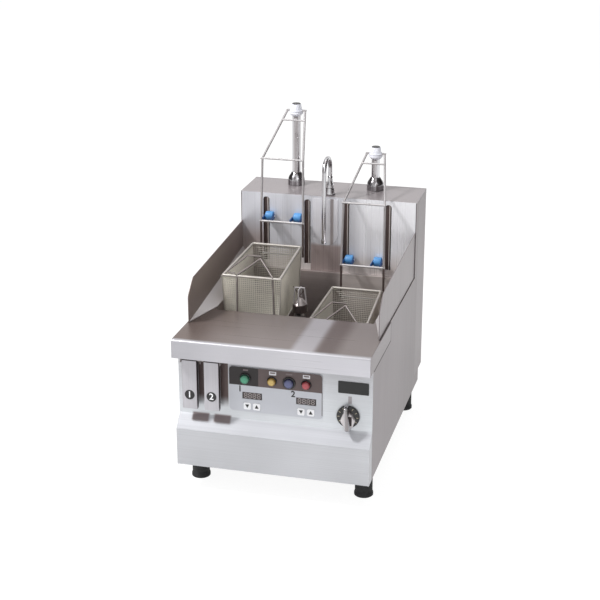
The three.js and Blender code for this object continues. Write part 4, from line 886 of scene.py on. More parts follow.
def makeHousing():
    house, sheet = housingSettings, shellSettings["sheet"]
    low, high = nodeBox("lift_housing")
    half = house["faceHalf"]
    folded = fused(
        block((-half, house["faceY"], low[2]), (half, house["faceY"] + sheet, high[2])),
        block((low[0], house["faceY"], high[2] - sheet), high),
        block((low[0], high[1] - sheet, high[2] - house["rearLip"]), high),
    )
    tools = []
    margin = shapeSettings["cutMargin"]
    near, far = house["faceY"] - margin, house["faceY"] + sheet + margin
    spread, (slotLow, slotHigh), radius = house["slotWidth"] / 2, house["slotZ"], house["slotRadius"]
    for x in house["slotXs"]:
        outline = [
            (x - spread, slotLow), (x + spread, slotLow), (x + spread, slotHigh, radius),
            (x - spread, slotHigh, radius),
        ]
        tools.append(pulled(outline, "y", near, far))
    for x, y, radius in (*house["rodHoles"], house["faucetHole"]):
        tools.append(turned(drum(radius, high[2] - 5, high[2] + 2), (x, y), "z", 32))
    piece(
        "housingSheet", [carved(folded, *tools)], "housing", "chassis",
        ["lift_housing"], house["edge"],
    )
    boss = house["boss"]
    reach, top = boss["width"] / 2, high[2] - boss["topDrop"] - 1
    outline = rectangle((boss["x"] - reach, boss["bottom"]), (boss["x"] + reach, top), boss["radius"])
    outline = outline[:2] + [corner[:2] for corner in outline[2:]]
    tongue = pulled(outline, "y", low[1], house["faceY"] - 0.02, 16)
    piece("splashBoss", [tongue], "boss", "chassis", edge=boss["edge"])


coverSettings = {
    "louvreXs": (-90, 90),
    "louvreWidth": 70,
    "louvreHeight": 5,
    "louvreRadius": 2.2,
    "louvrePitch": 13,
    "louvreCount": 6,
    "louvreTop": 460,
    "hoodRise": 1.5,
    "hoodSwell": ((0, 0.1), (0.04, 0.6), (0.1, 1), (0.9, 1), (0.96, 0.6), (1, 0.1)),
    "inlet": (1, 115, 15),
    "footDepth": 50,
    "screwXs": (-184.2, 184.2),
    "screwZs": (113, 230.5, 348, 465.5),
    "screwHole": 2.3,
    "headRadius": 4,
    "headRise": 1.5,
    "recessShare": 0.5,
    "recessHalf": 0.45,
    "edge": 0.4,
}


def louvrePlaces():
    cover = coverSettings
    middle = cover["louvreTop"] - cover["louvreHeight"] / 2
    rows = [middle - row * cover["louvrePitch"] for row in range(cover["louvreCount"])]
    return [(x, z) for x in cover["louvreXs"] for z in rows]


def makeRearCover():
    cover, sheet = coverSettings, shellSettings["sheet"]
    low, high = nodeBox("rear_cover")
    parts = [
        block((low[0], low[1], low[2]), (low[0] + sheet, high[1], high[2])),
        block((high[0] - sheet, low[1], low[2]), high),
        block((low[0], high[1] - cover["footDepth"], low[2]), (high[0], high[1], low[2] + sheet)),
    ]
    folded = fused(block((low[0], high[1] - sheet, low[2]), high), *parts)
    margin = shapeSettings["cutMargin"]
    near, far = high[1] - sheet - margin, high[1] + margin
    tools = []
    for x, z in louvrePlaces():
        slot = centred(x, z, cover["louvreWidth"], cover["louvreHeight"], cover["louvreRadius"])
        tools.append(pulled(slot, "y", near, far))
    for x in cover["screwXs"]:
        for z in cover["screwZs"]:
            tools.append(crossHole(x, z, cover["screwHole"], near, far))
    tools.append(crossHole(*cover["inlet"], near, far))
    sheets = [carved(folded, *tools)]
    piece("coverSheet", sheets, "cover", "chassis", ["rear_cover"], cover["edge"])


makeWorktop()
makeFrontPanel()
makeSidePanels()
makeSeams()
makeGuards()
makeHousing()
makeRearCover()
print("body sheets made")

# What repeats is grown by Geometry Nodes trees


def newTree(name, inputs):
    tree = bpy.data.node_groups.new(name, "GeometryNodeTree")
    tree.is_modifier = True
    sockets = tree.interface
    sockets.new_socket("Geometry", in_out="INPUT", socket_type="NodeSocketGeometry")
    for label, kind in inputs:
        sockets.new_socket(label, in_out="INPUT", socket_type="NodeSocket" + kind)
    sockets.new_socket("Geometry", in_out="OUTPUT", socket_type="NodeSocketGeometry")
    return tree, tree.nodes.new("NodeGroupInput"), tree.nodes.new("NodeGroupOutput")


def grown(tree, values, points=()):
    mesh = bpy.data.meshes.new(tree.name)
    mesh.from_pydata([Vector(point) / 1000 for point in points], [], [])
    host = placed(tree.name, mesh)
    modifier = host.modifiers.new(tree.name, "NODES")
    modifier.node_group = tree
    for item in tree.interface.items_tree:
        if item.item_type == "SOCKET" and item.in_out == "INPUT" and item.name in values:
            modifier[item.identifier] = values[item.name]
    result = bakedMesh(host)
    bpy.data.objects.remove(host)
    return result


def joinedPiece(name, meshes, look, body, stands=()):
    whole = bmesh.new()
    for mesh in meshes:
        whole.from_mesh(mesh)
        bpy.data.meshes.remove(mesh)
    mesh = bpy.data.meshes.new(name)
    whole.to_mesh(mesh)
    whole.free()
    finishPiece(placed(name, mesh), look, body, stands)


# Joins what a tree has grown, gives it its material and hands it out.
def endTree(tree, start, end, shape):
    real = added(tree, "GeometryNodeRealizeInstances", {0: shape}).outputs[0]
    values = {"Geometry": real, "Material": start.outputs["Finish"]}
    tree.links.new(added(tree, "GeometryNodeSetMaterial", values).outputs[0], end.inputs[0])
    return tree


# Copies one small part to each point.
def copiesTree():
    tree, start, end = newTree("copiesAtPoints", [("Part", "Object"), ("Finish", "Material")])
    part = added(tree, "GeometryNodeObjectInfo", {"Object": start.outputs["Part"]})
    values = {"Points": start.outputs["Geometry"], "Instance": part.outputs["Geometry"]}
    return endTree(tree, start, end, added(tree, "GeometryNodeInstanceOnPoints", values).outputs[0])


def copied(copies, name, solid, look, points):
    part = meshObject(name + "Part", [solid])
    mesh = grown(copies, {"Part": part, "Finish": looks[look]}, points)
    bpy.data.objects.remove(part)
    joinedPiece(name, [mesh], look, "chassis")


def makeScrews(copies):
    cover = coverSettings
    faceY = nodeBox("rear_cover")[1][1]
    radius, rise = cover["headRadius"], cover["headRise"]
    crown = [(radius, rise * 0.45), (radius * 0.8, rise * 0.85), (radius * 0.4, rise), (0, rise)]
    head = turned([(0, 0.02), (radius, 0.02), *crown], (0, 0), "y", 28)
    long, thin = radius * cover["recessShare"], cover["recessHalf"]
    recess = [block((-x, rise * 0.35, -z), (x, rise + 1, z)) for x, z in ((long, thin), (thin, long))]
    points = [(x, faceY, z) for x in cover["screwXs"] for z in cover["screwZs"]]
    copied(copies, "coverScrews", carved(head, *recess), "chrome", points)


# A pressed hood over each louvre slot, open below.
def makeLouvres(copies):
    cover = coverSettings
    faceY = nodeBox("rear_cover")[1][1]
    wide, rise, out = cover["louvreWidth"], cover["louvreHeight"] / 2, cover["hoodRise"]
    rings = []
    for share, lift in cover["hoodSwell"]:
        x, peak = wide * (share - 0.5), out * lift
        outside = [(x, -0.5, rise + 1.4), (x, peak * 0.55, rise + 0.4), (x, peak, rise - 2.2)]
        inside = [(x, peak - 0.5, rise - 2.2), (x, peak * 0.55 - 0.6, rise - 0.2), (x, -0.5, rise - 0.1)]
        rings.append(outside + inside)
    points = [(x, faceY, z) for x, z in louvrePlaces()]
    copied(copies, "louvreHoods", skinned(rings), "cover", points)


pointCopies = copiesTree()
makeScrews(pointCopies)
makeLouvres(pointCopies)
print("screws and louvres made")

# Lifts: rods, collars and caps

liftSettings = {
    "places": {"left": (-92.5, 262), "right": (89, 262)},
    "rodRadius": 9.5,
    "studRadius": 4,
    "collarBore": 9.8,
    "collarRadius": 19,
    "collarDrum": 11,
    "collarNeck": 11.3,
    "collarSwell": ((0.1, 1), (0.5, 3.2), (1.5, 6), (3.2, 9.2), (5.6, 12.6)),
    "footRadius": 10.5,
    "flangeRadius": 15,
    "neckRadius": 12.5,
    "crownRadius": 10.5,
    "shoulderRise": 10,
    "plugRadius": 9.4,
    "plugRise": 1.4,
}


def makeLifts():
    lift = liftSettings
    for side, centre in lift["places"].items():
        low, high = nodeBox("lift_rod_" + side)
        capLow, capHigh = nodeBox("lift_cap_" + side)
        body = "lift_" + side
        radius = lift["rodRadius"]
        end = capLow[2] - shellSettings["gap"]
        rod = [(0, low[2]), (radius, low[2]), (radius, end), *drum(lift["studRadius"], end, high[2])[1:]]
        piece("liftRod_" + side, [turned(rod, centre)], "rod", body, ["lift_rod_" + side])

        seat, top = (corner[2] for corner in nodeBox("lift_collar_" + side))
        wide, bore, neck = lift["collarRadius"], lift["collarBore"], lift["collarNeck"]
        shoulder = seat + lift["collarDrum"]
        swell = [(wide - inset, shoulder + rise) for inset, rise in lift["collarSwell"]]
        foot = [(bore, seat), (wide - 0.6, seat), (wide, seat + 0.6), (wide, shoulder - 1.5)]
        collar = [*foot, *swell, (neck + 0.5, top - 1.2), (neck - 0.4, top), (bore, top)]
        piece(
            "liftCollar_" + side, [turned(collar, centre, loop=True)], "collar", "chassis",
            ["lift_collar_" + side],
        )

        foot, flange, nose = lift["footRadius"], lift["flangeRadius"], lift["neckRadius"]
        seat, shoulder = capLow[2], capLow[2] + lift["shoulderRise"]
        crown, tip = capHigh[2] - lift["plugRise"], lift["crownRadius"]
        cap = [
            (0, seat), (foot - 0.5, seat), (foot, seat + 0.5),
            (flange - 1.2, seat + 3.8), (flange - 0.3, seat + 4.8), (flange, seat + 6),
            (flange, shoulder - 1.5), (flange - 0.4, shoulder - 0.4), (flange - 1.5, shoulder),
            (nose, shoulder), (nose, shoulder + 3),
            (tip, crown - 1), (tip - 0.3, crown - 0.3), (tip - 1, crown), (0, crown),
        ]
        piece("liftCap_" + side, [turned(cap, centre)], "capWhite", body, ["lift_cap_" + side])
        plug = lift["plugRadius"]
        profile = [(0, crown + 0.02), (plug, crown + 0.02), (plug, crown + 0.7), (plug - 0.7, capHigh[2])]
        profile.append((0, capHigh[2]))
        piece("liftCapPlug_" + side, [turned(profile, centre)], "black", body)


makeLifts()
print("lifts made")

# Hangers with their rollers

hangerSettings = {
    "wire": 5,
    "brace": 4,
    "reach": 126,
    "eyeRadius": 15,
    "eyeBore": 12.9,
    "eyeHalf": 20,
    "eyeHeight": 3,
    "lugStart": 14.4,
    "lugOverlap": 2.5,
    "lugHalf": 4.5,
    "drop": 78,
    "shoulderHalf": 47.5,
    "crossShare": 0.21,
    "barDrop": 222,
    "barHalf": 50,
    "rollerPlaces": (-36, 28),
    "rollerRadius": 10.5,
    "rollerHalf": 9,
    "rollerY": 166.5,
    "rollerRise": 3.3,
    "pinRadius": 2.5,
    "cheekHeight": 9,
    "cheekReach": 5,
    "cheekSheet": 1.5,
    "cheekGap": 0.3,
}


def makeHangers():
    hang = hangerSettings
    eyeHalf, shoulderHalf, thick = hang["eyeHalf"], hang["shoulderHalf"], hang["wire"]
    wide, rollerHalf, pin = hang["rollerRadius"], hang["rollerHalf"], hang["pinRadius"]
    rollerY = hang["rollerY"]
    cheekEnd, bore = rollerY + hang["cheekReach"], pin + hang["cheekGap"]
    for side, (x, liftY) in liftSettings["places"].items():
        body, barY = "carrier_" + side, liftY - hang["reach"]
        footZ = nodeBox("hanger_" + side)[0][2]
        rollerLow, rollerHigh = (corner[2] for corner in nodeBox("roller_" + side + "_1"))
        eye = (rollerLow + rollerHigh) / 2 - hang["rollerRise"] + hang["barDrop"]
        shoulder, bar = eye - hang["drop"], eye - hang["barDrop"]
        frameWires, legs, bars, cheeks, dots = [], [], [], [], []
        low, high = eye - hang["eyeHeight"] / 2, eye + hang["eyeHeight"] / 2
        ring = easedDrum(hang["eyeRadius"], low, high, hang["eyeBore"], 0.4, 0.4)
        piece("hangerEye_" + side, [turned(ring, (x, liftY), loop=True)], "capWhite", body)
        for s in (-1, 1):
            near, far = x + s * hang["lugStart"], x + s * (eyeHalf + hang["lugOverlap"])
            lug = rectangle((near, liftY - hang["lugHalf"]), (far, liftY + hang["lugHalf"]))
            frameWires.append(pulled(lug, "z", low, high))
            route = easedRoute([
                (x + s * eyeHalf, liftY, eye),
                (x + s * shoulderHalf, barY, shoulder),
                (x + s * shoulderHalf, barY, bar),
            ], 2 * thick, 8)
            frameWires.append(wire(route, thick, 14))
            legs.append(wire([route[-1], (route[-1][0], barY, footZ)], thick, 14))
        share, brace = hang["crossShare"], hang["brace"]
        upperHalf = eyeHalf + (shoulderHalf - eyeHalf) * share
        rungs = [
            (upperHalf, liftY - hang["reach"] * share, eye - hang["drop"] * share, brace),
            (shoulderHalf, barY, shoulder - thick / 2, brace),
            (hang["barHalf"], barY, bar, thick),
            (shoulderHalf, barY, footZ + brace, brace),
        ]
        for half, y, z, width in rungs:
            bars.append(wire([(x - half, y, z), (x + half, y, z)], width, 14))
        bottom, axle = bar - thick / 2, (rollerY, bar + hang["rollerRise"])
        inside = rollerHalf + hang["cheekGap"]
        outside = inside + hang["cheekSheet"]
        top = bottom + hang["cheekHeight"]
        cheek = [(barY, bottom), (cheekEnd, bottom, 4), (cheekEnd, top, 4), (barY, top)]
        for shift in hang["rollerPlaces"]:
            rx = x + shift
            for s in (-1, 1):
                near, far = sorted((rx + s * inside, rx + s * outside))
                cheeks.append(pulled(cheek, "x", near, far, 8))
            axlePin = easedDrum(pin, rx - outside - 0.01, rx + outside + 0.01, 0, 0.5, 0.41)
            cheeks.append(turned(axlePin, axle, "x", 20))
            for way in (-1, 1):
                end = rx + way * (outside + 0.03)
                dot = [(0, end), (pin, end), (pin, end + way * 0.7), (0, end + way * 0.9)]
                dots.append(turned(dot, axle, "x", 20))
        piece("axleDots_" + side, dots, "capWhite", body)
        wireSets = (
            ("hangerFrame_", frameWires, "wireGrey"),
            ("hangerLegs_", legs, "wireDeep"),
            ("hangerBars_", bars, "wire"),
            ("rollerCheeks_", cheeks, "blueDeep"),
        )
        for name, solids, look in wireSets:
            piece(name + side, solids, look, body, ["hanger_" + side], smooth=40)

        for i, shift in enumerate(hang["rollerPlaces"], 1):
            rx = x + shift
            edge = [(bore, 0), (wide - 2.6, 0), (wide - 1.2, 0.5), (wide - 0.4, 1.4), (wide, 2.8)]
            profile = [(r, rx - rollerHalf + d) for r, d in edge]
            profile += [(r, rx + rollerHalf - d) for r, d in reversed(edge)]
            name = "roller_" + side + "_" + str(i)
            wheel = turned(profile, axle, "x", 48, True)
            piece(name + "Wheel", [wheel], "blue", name, [name])
            discs = []
            for way in (-1, 1):
                end = rx + way * (rollerHalf + 0.02)
                discs.append(turned(drum(wide - 2.8, end, end + way * 0.12, bore), axle, "x", 40, True))
            piece(name + "Discs", discs, "blueDeep", name)


makeHangers()
print("hangers and rollers made")

# Baskets: woven wire walls between four corner lines, a round rim and a bail

basketSettings = {
    "topCorners": ((-67, -95.8), (61, -95.8), (47, 130.2), (-67, 130.2)),
    "topZ": 400.8,
    "drops": {"left": 0, "right": 87},
    "depth": 118,
    "draft": 7,
    "middle": (-5, 17),
    "rimWire": 5.4,
    "wallWire": 2.4,
    "wallInset": 1.5,
    "footRise": 1.6,
    "pitch": 4.2,
    "thread": 1.2,
    "bailWire": 3.8,
    "bailLeft": 36,
    "bailRight": 45,
    "bailPeakX": 6,
    "bailRise": 32,
    "bailRun": 48,
    "loopWire": 3,
    "loopRoute": ((6, 48, 31), (-25, 48, 34), (-62, 5, 5.4), (-37, 1.5, 5.4)),
}


# Straight threads across a four-cornered patch, spread evenly from edge A-B to edge D-C.
def threadTree():
    inputs = [("Corner " + letter, "Vector") for letter in "ABCD"]
    inputs += [("Threads", "Int"), ("Radius", "Float"), ("Finish", "Material")]
    tree, start, end = newTree("wovenThreads", inputs)
    given = start.outputs
    values = {"Size X": 1, "Size Y": 1, "Vertices X": given["Threads"], "Vertices Y": 2}
    grid = added(tree, "GeometryNodeMeshGrid", values).outputs["Mesh"]

    ends = added(tree, "GeometryNodeInputMeshEdgeVertices").outputs
    across = vectorMath(tree, "SUBTRACT", ends["Position 1"], ends["Position 2"]).outputs[0]
    width = computed(tree, "ABSOLUTE", added(tree, "ShaderNodeSeparateXYZ", {0: across}).outputs["X"])
    values = {"Geometry": grid, "Selection": computed(tree, "GREATER_THAN", width, 0.0001)}
    rungs = added(tree, "GeometryNodeDeleteGeometry", values, domain="EDGE", mode="EDGE_FACE").outputs[0]

    place = added(tree, "GeometryNodeInputPosition").outputs[0]
    spread = added(tree, "ShaderNodeSeparateXYZ", {0: place}).outputs
    along, over = (computed(tree, "ADD", spread[axis], 0.5) for axis in "XY")
    lower = mixed(tree, along, given["Corner A"], given["Corner B"], "VECTOR")
    upper = mixed(tree, along, given["Corner D"], given["Corner C"], "VECTOR")
    values = {"Geometry": rungs, "Position": mixed(tree, over, lower, upper, "VECTOR")}
    moved = added(tree, "GeometryNodeSetPosition", values).outputs[0]
    lines = added(tree, "GeometryNodeMeshToCurve", {0: moved}).outputs[0]
    values = {"Resolution": 5, "Radius": given["Radius"]}
    ring = added(tree, "GeometryNodeCurvePrimitiveCircle", values).outputs[0]
    values = {"Curve": lines, "Profile Curve": ring, "Fill Caps": True}
    return endTree(tree, start, end, added(tree, "GeometryNodeCurveToMesh", values).outputs[0])


def makeBaskets():
    basket = basketSettings
    threads = threadTree()
    radius, pitch, wall = basket["thread"] / 2, basket["pitch"], basket["wallWire"]
    middleX, middleY = basket["middle"]
    for side, (x, _) in liftSettings["places"].items():
        body = "carrier_" + side
        top = basket["topZ"] - basket["drops"][side]
        bottom = top - basket["depth"]
        floor = bottom + radius * 2

        def ring(level, inset=0):
            draw = basket["draft"] * (top - level) / basket["depth"] + inset
            corners = []
            for cx, cy in basket["topCorners"]:
                drawX, drawY = math.copysign(draw, cx - middleX), math.copysign(draw, cy - middleY)
                corners.append(Vector((x + cx - drawX, cy - drawY, level)))
            return corners

        meshes = []

        def weave(patch, length):
            values = {"Corner " + letter: tuple(spot / 1000) for letter, spot in zip("ABCD", patch)}
            values |= {"Threads": round(length / pitch), "Radius": radius / 1000, "Finish": looks["mesh"]}
            meshes.append(grown(threads, values))

        rim, foot = ring(top), ring(bottom + basket["footRise"])
        upright, level = basket["wallInset"], basket["wallInset"] + 2 * radius
        for i in range(4):
            j = (i + 1) % 4
            low, high = ring(floor, upright), ring(top, upright)
            weave((low[i], low[j], high[j], high[i]), (rim[j] - rim[i]).length)
            low, high = ring(floor, level), ring(top, level)
            weave((low[i], high[i], high[j], low[j]), basket["depth"])
        a, b, c, d = ring(floor, 1)
        weave((a, b, c, d), (b - a).length)
        lift = Vector((0, 0, 2 * radius))
        weave((a + lift, d + lift, c + lift, b + lift), (d - a).length)
        joinedPiece("basketWeave_" + side, meshes, "mesh", body, ["basket_" + side])

        rimRoute = []
        for i, here in enumerate(rim):
            back, ahead = (rim[i - 1] - here).normalized() * 6, (rim[(i + 1) % 4] - here).normalized() * 6
            rimRoute += easedRoute([here + back, here, here + ahead], 4, 5)[1:-1]
        solids = [wire(rimRoute, basket["rimWire"], 14, True), wire(foot, wall, 8, True)]
        for pair in zip(ring(bottom + basket["footRise"], 0.2), ring(top, 0.2)):
            solids.append(wire(pair, wall, 8))
        bail, frontY = basket["bailWire"], basket["topCorners"][0][1]
        left, right = x - basket["bailLeft"], x + basket["bailRight"]
        bailY, seat, shoulder = frontY - bail / 3, bottom + bail, top + basket["rimWire"]
        route = easedRoute([
            (left, bailY + basket["draft"], seat), (left, bailY, shoulder),
            (x + basket["bailPeakX"], frontY + basket["bailRun"], top + basket["bailRise"]),
            (right, bailY, shoulder), (right, bailY + basket["draft"], seat),
        ], bail * 1.4, 8)
        loop = [(x + across, frontY + run, top + rise) for across, run, rise in basket["loopRoute"]]
        bails = [wire(route, bail, 14), wire(easedRoute(loop, 4, 6), basket["loopWire"], 10)]
        piece("basketRim_" + side, solids, "rim", body, smooth=40)
        piece("basketBail_" + side, bails, "bail", body, smooth=40)


makeBaskets()
print("baskets made")

# Water spout

faucetSettings = {
    "centre": (1, 197),
    "baseRadius": 12,
    "baseTopRadius": 8.5,
    "baseRise": 15,
    "coneRadius": 7.5,
    "coneRise": 27,
    "pipeRadius": 4.75,
    "bendRadius": 28.5,
    "bendZ": 564.6,
    "outletZ": 409,
    "outletRadius": 5.5,
    "outletLength": 10,
    "outletWall": 1.5,
}


def makeFaucet():
    tap = faucetSettings
    centre = tap["centre"]
    seat = nodeBox("lift_housing")[1][2] + shellSettings["gap"]
    top = seat + tap["baseRise"]
    wide, neck = tap["baseRadius"], tap["baseTopRadius"]
    base = [
        (0, seat), (wide - 0.5, seat), (wide, seat + 0.5), (wide, seat + 2.4), (wide - 0.6, seat + 3),
        (wide - 2.2, seat + 4), (neck + 1, seat + 8), (neck + 0.4, top - 1.2), (neck - 0.2, top - 0.2),
        (neck - 1, top), (0, top),
    ]
    piece("faucetBase", [turned(base, centre, steps=6)], "chrome", "chassis", ["faucet_base"], 0.4)
    pipe, cone, coneZ = tap["pipeRadius"], tap["coneRadius"], top + shellSettings["gap"]
    tip = coneZ + tap["coneRise"]
    hub = [
        (0, coneZ), (cone - 0.4, coneZ), (cone, coneZ + 0.4), (cone, coneZ + 7), (cone - 0.7, coneZ + 9),
        (pipe + 0.8, tip - 6), (pipe + 0.6, tip - 1), (pipe - 0.2, tip), (0, tip),
    ]
    x, y = centre
    bend = tap["bendRadius"]
    route = [(x, y, coneZ + 1)]
    for k in range(33):
        angle = math.pi * k / 32
        route.append((x, y - bend * (1 - math.cos(angle)), tap["bendZ"] + bend * math.sin(angle)))
    legY, out = y - 2 * bend, tap["outletZ"]
    route.append((x, legY, out + 1))
    bore = pipe - tap["outletWall"]
    lip = easedDrum(tap["outletRadius"], out, out + tap["outletLength"], bore, 0.5, 0.5)
    solids = [turned(hub, centre), wire(route, 2 * pipe, 28), turned(lip, (x, legY), loop=True)]
    piece("faucetSpout", solids, "spout", "faucet", ["faucet_spout"], smooth=40)


makeFaucet()
print("spout made")

# Start paddles with their round number badges

paddleSettings = {
    "xs": (-169, -123.5),
    "width": 31,
    "faceY": -285,
    "depth": 10,
    "bottom": 182,
    "top": 291,
    "radius": 2,
    "badgeZ": 212,
    "badgeRadius": 10.2,
    "badgeRise": 0.8,
    "numeral": 13,
    "footGap": 0.7,
    "edge": 0.35,
}


def makePaddles():
    pad, sheet = paddleSettings, shellSettings["sheet"]
    half, face, rear = pad["width"] / 2, pad["faceY"], pad["faceY"] + pad["depth"]
    inner, low, clear = half - sheet, pad["bottom"], pad["footGap"]
    radius, front, badgeZ = pad["badgeRadius"], face - pad["badgeRise"], pad["badgeZ"]
    for number, x in enumerate(pad["xs"], 1):
        outline = [(x - half, rear), (x - half, face, pad["radius"])]
        outline += [(x + half, face, pad["radius"]), (x + half, rear)]
        outline += [(x + inner, rear), (x + inner, face + sheet, 0.5)]
        outline += [(x - inner, face + sheet, 0.5), (x - inner, rear)]
        channel = pulled(outline, "z", low, pad["top"])
        foot = block((x - half + clear, face + clear, low), (x + half - clear, rear, low + sheet))
        mark = str(number)
        body = "paddle_" + mark
        piece(
            "startPaddle_" + mark, [fused(channel, foot)], "paddle", body,
            ["start_paddle_" + mark], pad["edge"],
        )
        badge = [(0, face - 0.03), (radius, face - 0.03), (radius, front + 0.3), (radius - 0.4, front)]
        badge.append((0, front))
        disc = turned(badge, (x, badgeZ), "y", 48)
        piece("paddleBadge_" + mark, [disc], "black", body)
        place = (x, front - 0.04, badgeZ)
        lettering("paddleNumeral_" + mark, mark, pad["numeral"], place, "whiteMark", body, 0.25)


makePaddles()
print("paddles made")

# Control plate: grey plate, dark band, lamps, displays, keys and printed numerals

panelSettings = {
    "left": -92.5,
    "right": 98.5,
    "bottom": 180,
    "top": 275.5,
    "face": -266.3,
    "thickness": 1,
    "radius": 8,
    "bandBottom": 236,
    "darkRight": -32,
    "film": 0.14,
    "lampZ": 250.7,
    "lampHoles": ((-59.1, 11), (-4.1, 9.8), (30.8, 11.3), (65.8, 10)),
    "displayXs": (-45, 65.3),
    "displayZ": 214.5,
    "displaySize": (40, 14),
    "digitHeight": 10,
    "digitWidth": 5.6,
    "digitPitch": 9,
    "digitBar": 0.65,
    "keys": ("key_down_1", "key_up_1", "key_down_2", "key_up_2"),
    "keyRadius": 3,
    "arrowHalf": 4.2,
    "arrowFoot": 3.6,
    "clearance": 0.3,
    "inset": 0.5,
    "edgeLine": 1.6,
    "numerals": (("1", -70, 227.5), ("2", 39, 227.5)),
    "numeralHeight": 12.5,
    "captions": ((-2.5, 267.5, 14.5, 7.5), (66, 267.5, 14.5, 7.5)),
    "captionBars": ((-2.5, 268.3, 10.5, 3), (66, 268.3, 10.5, 3), (-58, 269, 10, 3), (31, 269, 13, 3.4)),
}


def makePlate():
    panel = panelSettings
    face, back = panel["face"], panel["face"] + panel["thickness"]
    left, right, low, high = panel["left"], panel["right"], panel["bottom"], panel["top"]
    radius, clear = panel["radius"], panel["clearance"]
    width, height = panel["displaySize"]

    def through(start, end):
        outlines = [
            centred(x, panel["displayZ"], width + 2 * clear, height + 2 * clear) for x in panel["displayXs"]
        ]
        keyRadius = panel["keyRadius"] + clear
        outlines += [frontOutline(*nodeBox(name), keyRadius, clear) for name in panel["keys"]]
        near, far = start - shapeSettings["cutMargin"], end + shapeSettings["cutMargin"]
        tools = [crossHole(x, panel["lampZ"], r, near, far) for x, r in panel["lampHoles"]]
        return tools + [pulled(outline, "y", near, far) for outline in outlines]

    plate = pulled(rectangle((left, low), (right, high), radius), "y", face, back, 10)
    piece(
        "controlPlate", [carved(plate, *through(face, back))], "plate", "chassis",
        ["control_plate"], 0.2,
    )

    film, floor, split, inset = face - panel["film"], panel["bandBottom"], panel["darkRight"], panel["inset"]
    left, right, high = left + inset, right - inset, high - inset
    bandLight = [(split, floor), (right, floor), (right, high, radius - inset), (split, high)]
    bandDark = [(left, floor), (split, floor), (split, high), (left, high, radius - inset)]
    for name, outline, look in (("bandLight", bandLight, "band"), ("bandDark", bandDark, "bandDark")):
        solid = carved(pulled(outline, "y", film, face - 0.02, 10), *through(film, face)[:4])
        piece(name, [solid], look, "chassis")
    edge = rectangle((right + inset - panel["edgeLine"], low + radius), (right, floor))
    piece("plateEdgeLine", [pulled(edge, "y", film, face - 0.02)], "band", "chassis")
    for i, caption in enumerate(panel["captions"], 1):
        patch = pulled(centred(*caption, 0.6), "y", film - 0.08, film - 0.01)
        piece("captionPatch_" + str(i), [patch], "greyMark", "chassis")
    bars = [pulled(centred(*bar, 0.5), "y", film - 0.14, film - 0.09) for bar in panel["captionBars"]]
    piece("captionBars", bars, "captionBar", "chassis")
    for text, x, z in panel["numerals"]:
        lettering(
            "plateNumeral_" + text, text, panel["numeralHeight"], (x, face - 0.08, z), "blackMark", "chassis",
            0.4,
        )


# Seven-part figures on the two small displays, unlit.
def makeDisplays():
    panel, z = panelSettings, panelSettings["displayZ"]
    low, high = nodeBox("control_board")
    face = low[1]
    wide, tall, bar = panel["digitWidth"] / 2, panel["digitHeight"] / 2, panel["digitBar"]
    slabs, marks = [block((low[0], high[1] - 1.6, low[2]), high)], []
    for x in panel["displayXs"]:
        slabs.append(pulled(centred(x, z, *panel["displaySize"], 0.6), "y", face, high[1] - 0.8))
        for k in range(4):
            cx = x + (k - 1.5) * panel["digitPitch"]
            strokes = [(cx, z + rise, wide - 0.8, bar) for rise in (-tall, 0, tall)]
            for s in (-1, 1):
                strokes += [(cx + s * wide, z + rise, bar, tall / 2 - 0.9) for rise in (-tall / 2, tall / 2)]
            for sx, sz, reach, rise in strokes:
                near, far = (sx - reach, face - 0.06, sz - rise), (sx + reach, face - 0.01, sz + rise)
                marks.append(block(near, far))
    piece("displayBlocks", slabs, "screen", "chassis", ["control_board"], 0.1)
    piece("displayFigures", marks, "digit", "chassis")


def makeKeys():
    panel = panelSettings
    back, half = panel["face"] + panel["thickness"], panel["arrowHalf"]
    for name in panel["keys"]:
        low, high = nodeBox(name)
        x, z = (low[0] + high[0]) / 2, (low[2] + high[2]) / 2
        cap = pulled(frontOutline(low, high, panel["keyRadius"]), "y", low[1], back, 8)
        piece(name + "Cap", [cap], "keyWhite", name, [name], 0.3)
        way = 1 if "_up_" in name else -1
        foot, tip = z - way * panel["arrowFoot"], z + way * half
        arrow = [(x - half, foot, 0.3), (x + half, foot, 0.3), (x, tip, 0.3)]
        mark = pulled(arrow, "y", low[1] - 0.1, low[1] - 0.01)
        piece(name + "Arrow", [mark], "blackMark", name)


lampSettings = {
    "rows": (
        {"node": "push_button_green", "x": -59.1, "lens": 9.5, "bezel": 12.25, "look": "green"},
        {"node": "pilot_lamp_yellow", "x": -4.1, "lens": 8.25, "bezel": 10.25, "look": "yellow"},
        {"node": "push_button_blue", "x": 30.8, "lens": 9.75, "bezel": 13.25, "look": "blueLens"},
        {"node": "pilot_lamp_red", "x": 65.8, "lens": 8.5, "bezel": 10.5, "look": "red"},
    ),
    "bezelBack": -266.6,
    "bezelRise": 2.6,
    "proud": 2.6,
    "dome": 3.2,
    "lensDepth": 12,
    "barrel": 26,
    "barrelWall": 1.2,
    "gap": 0.3,
}


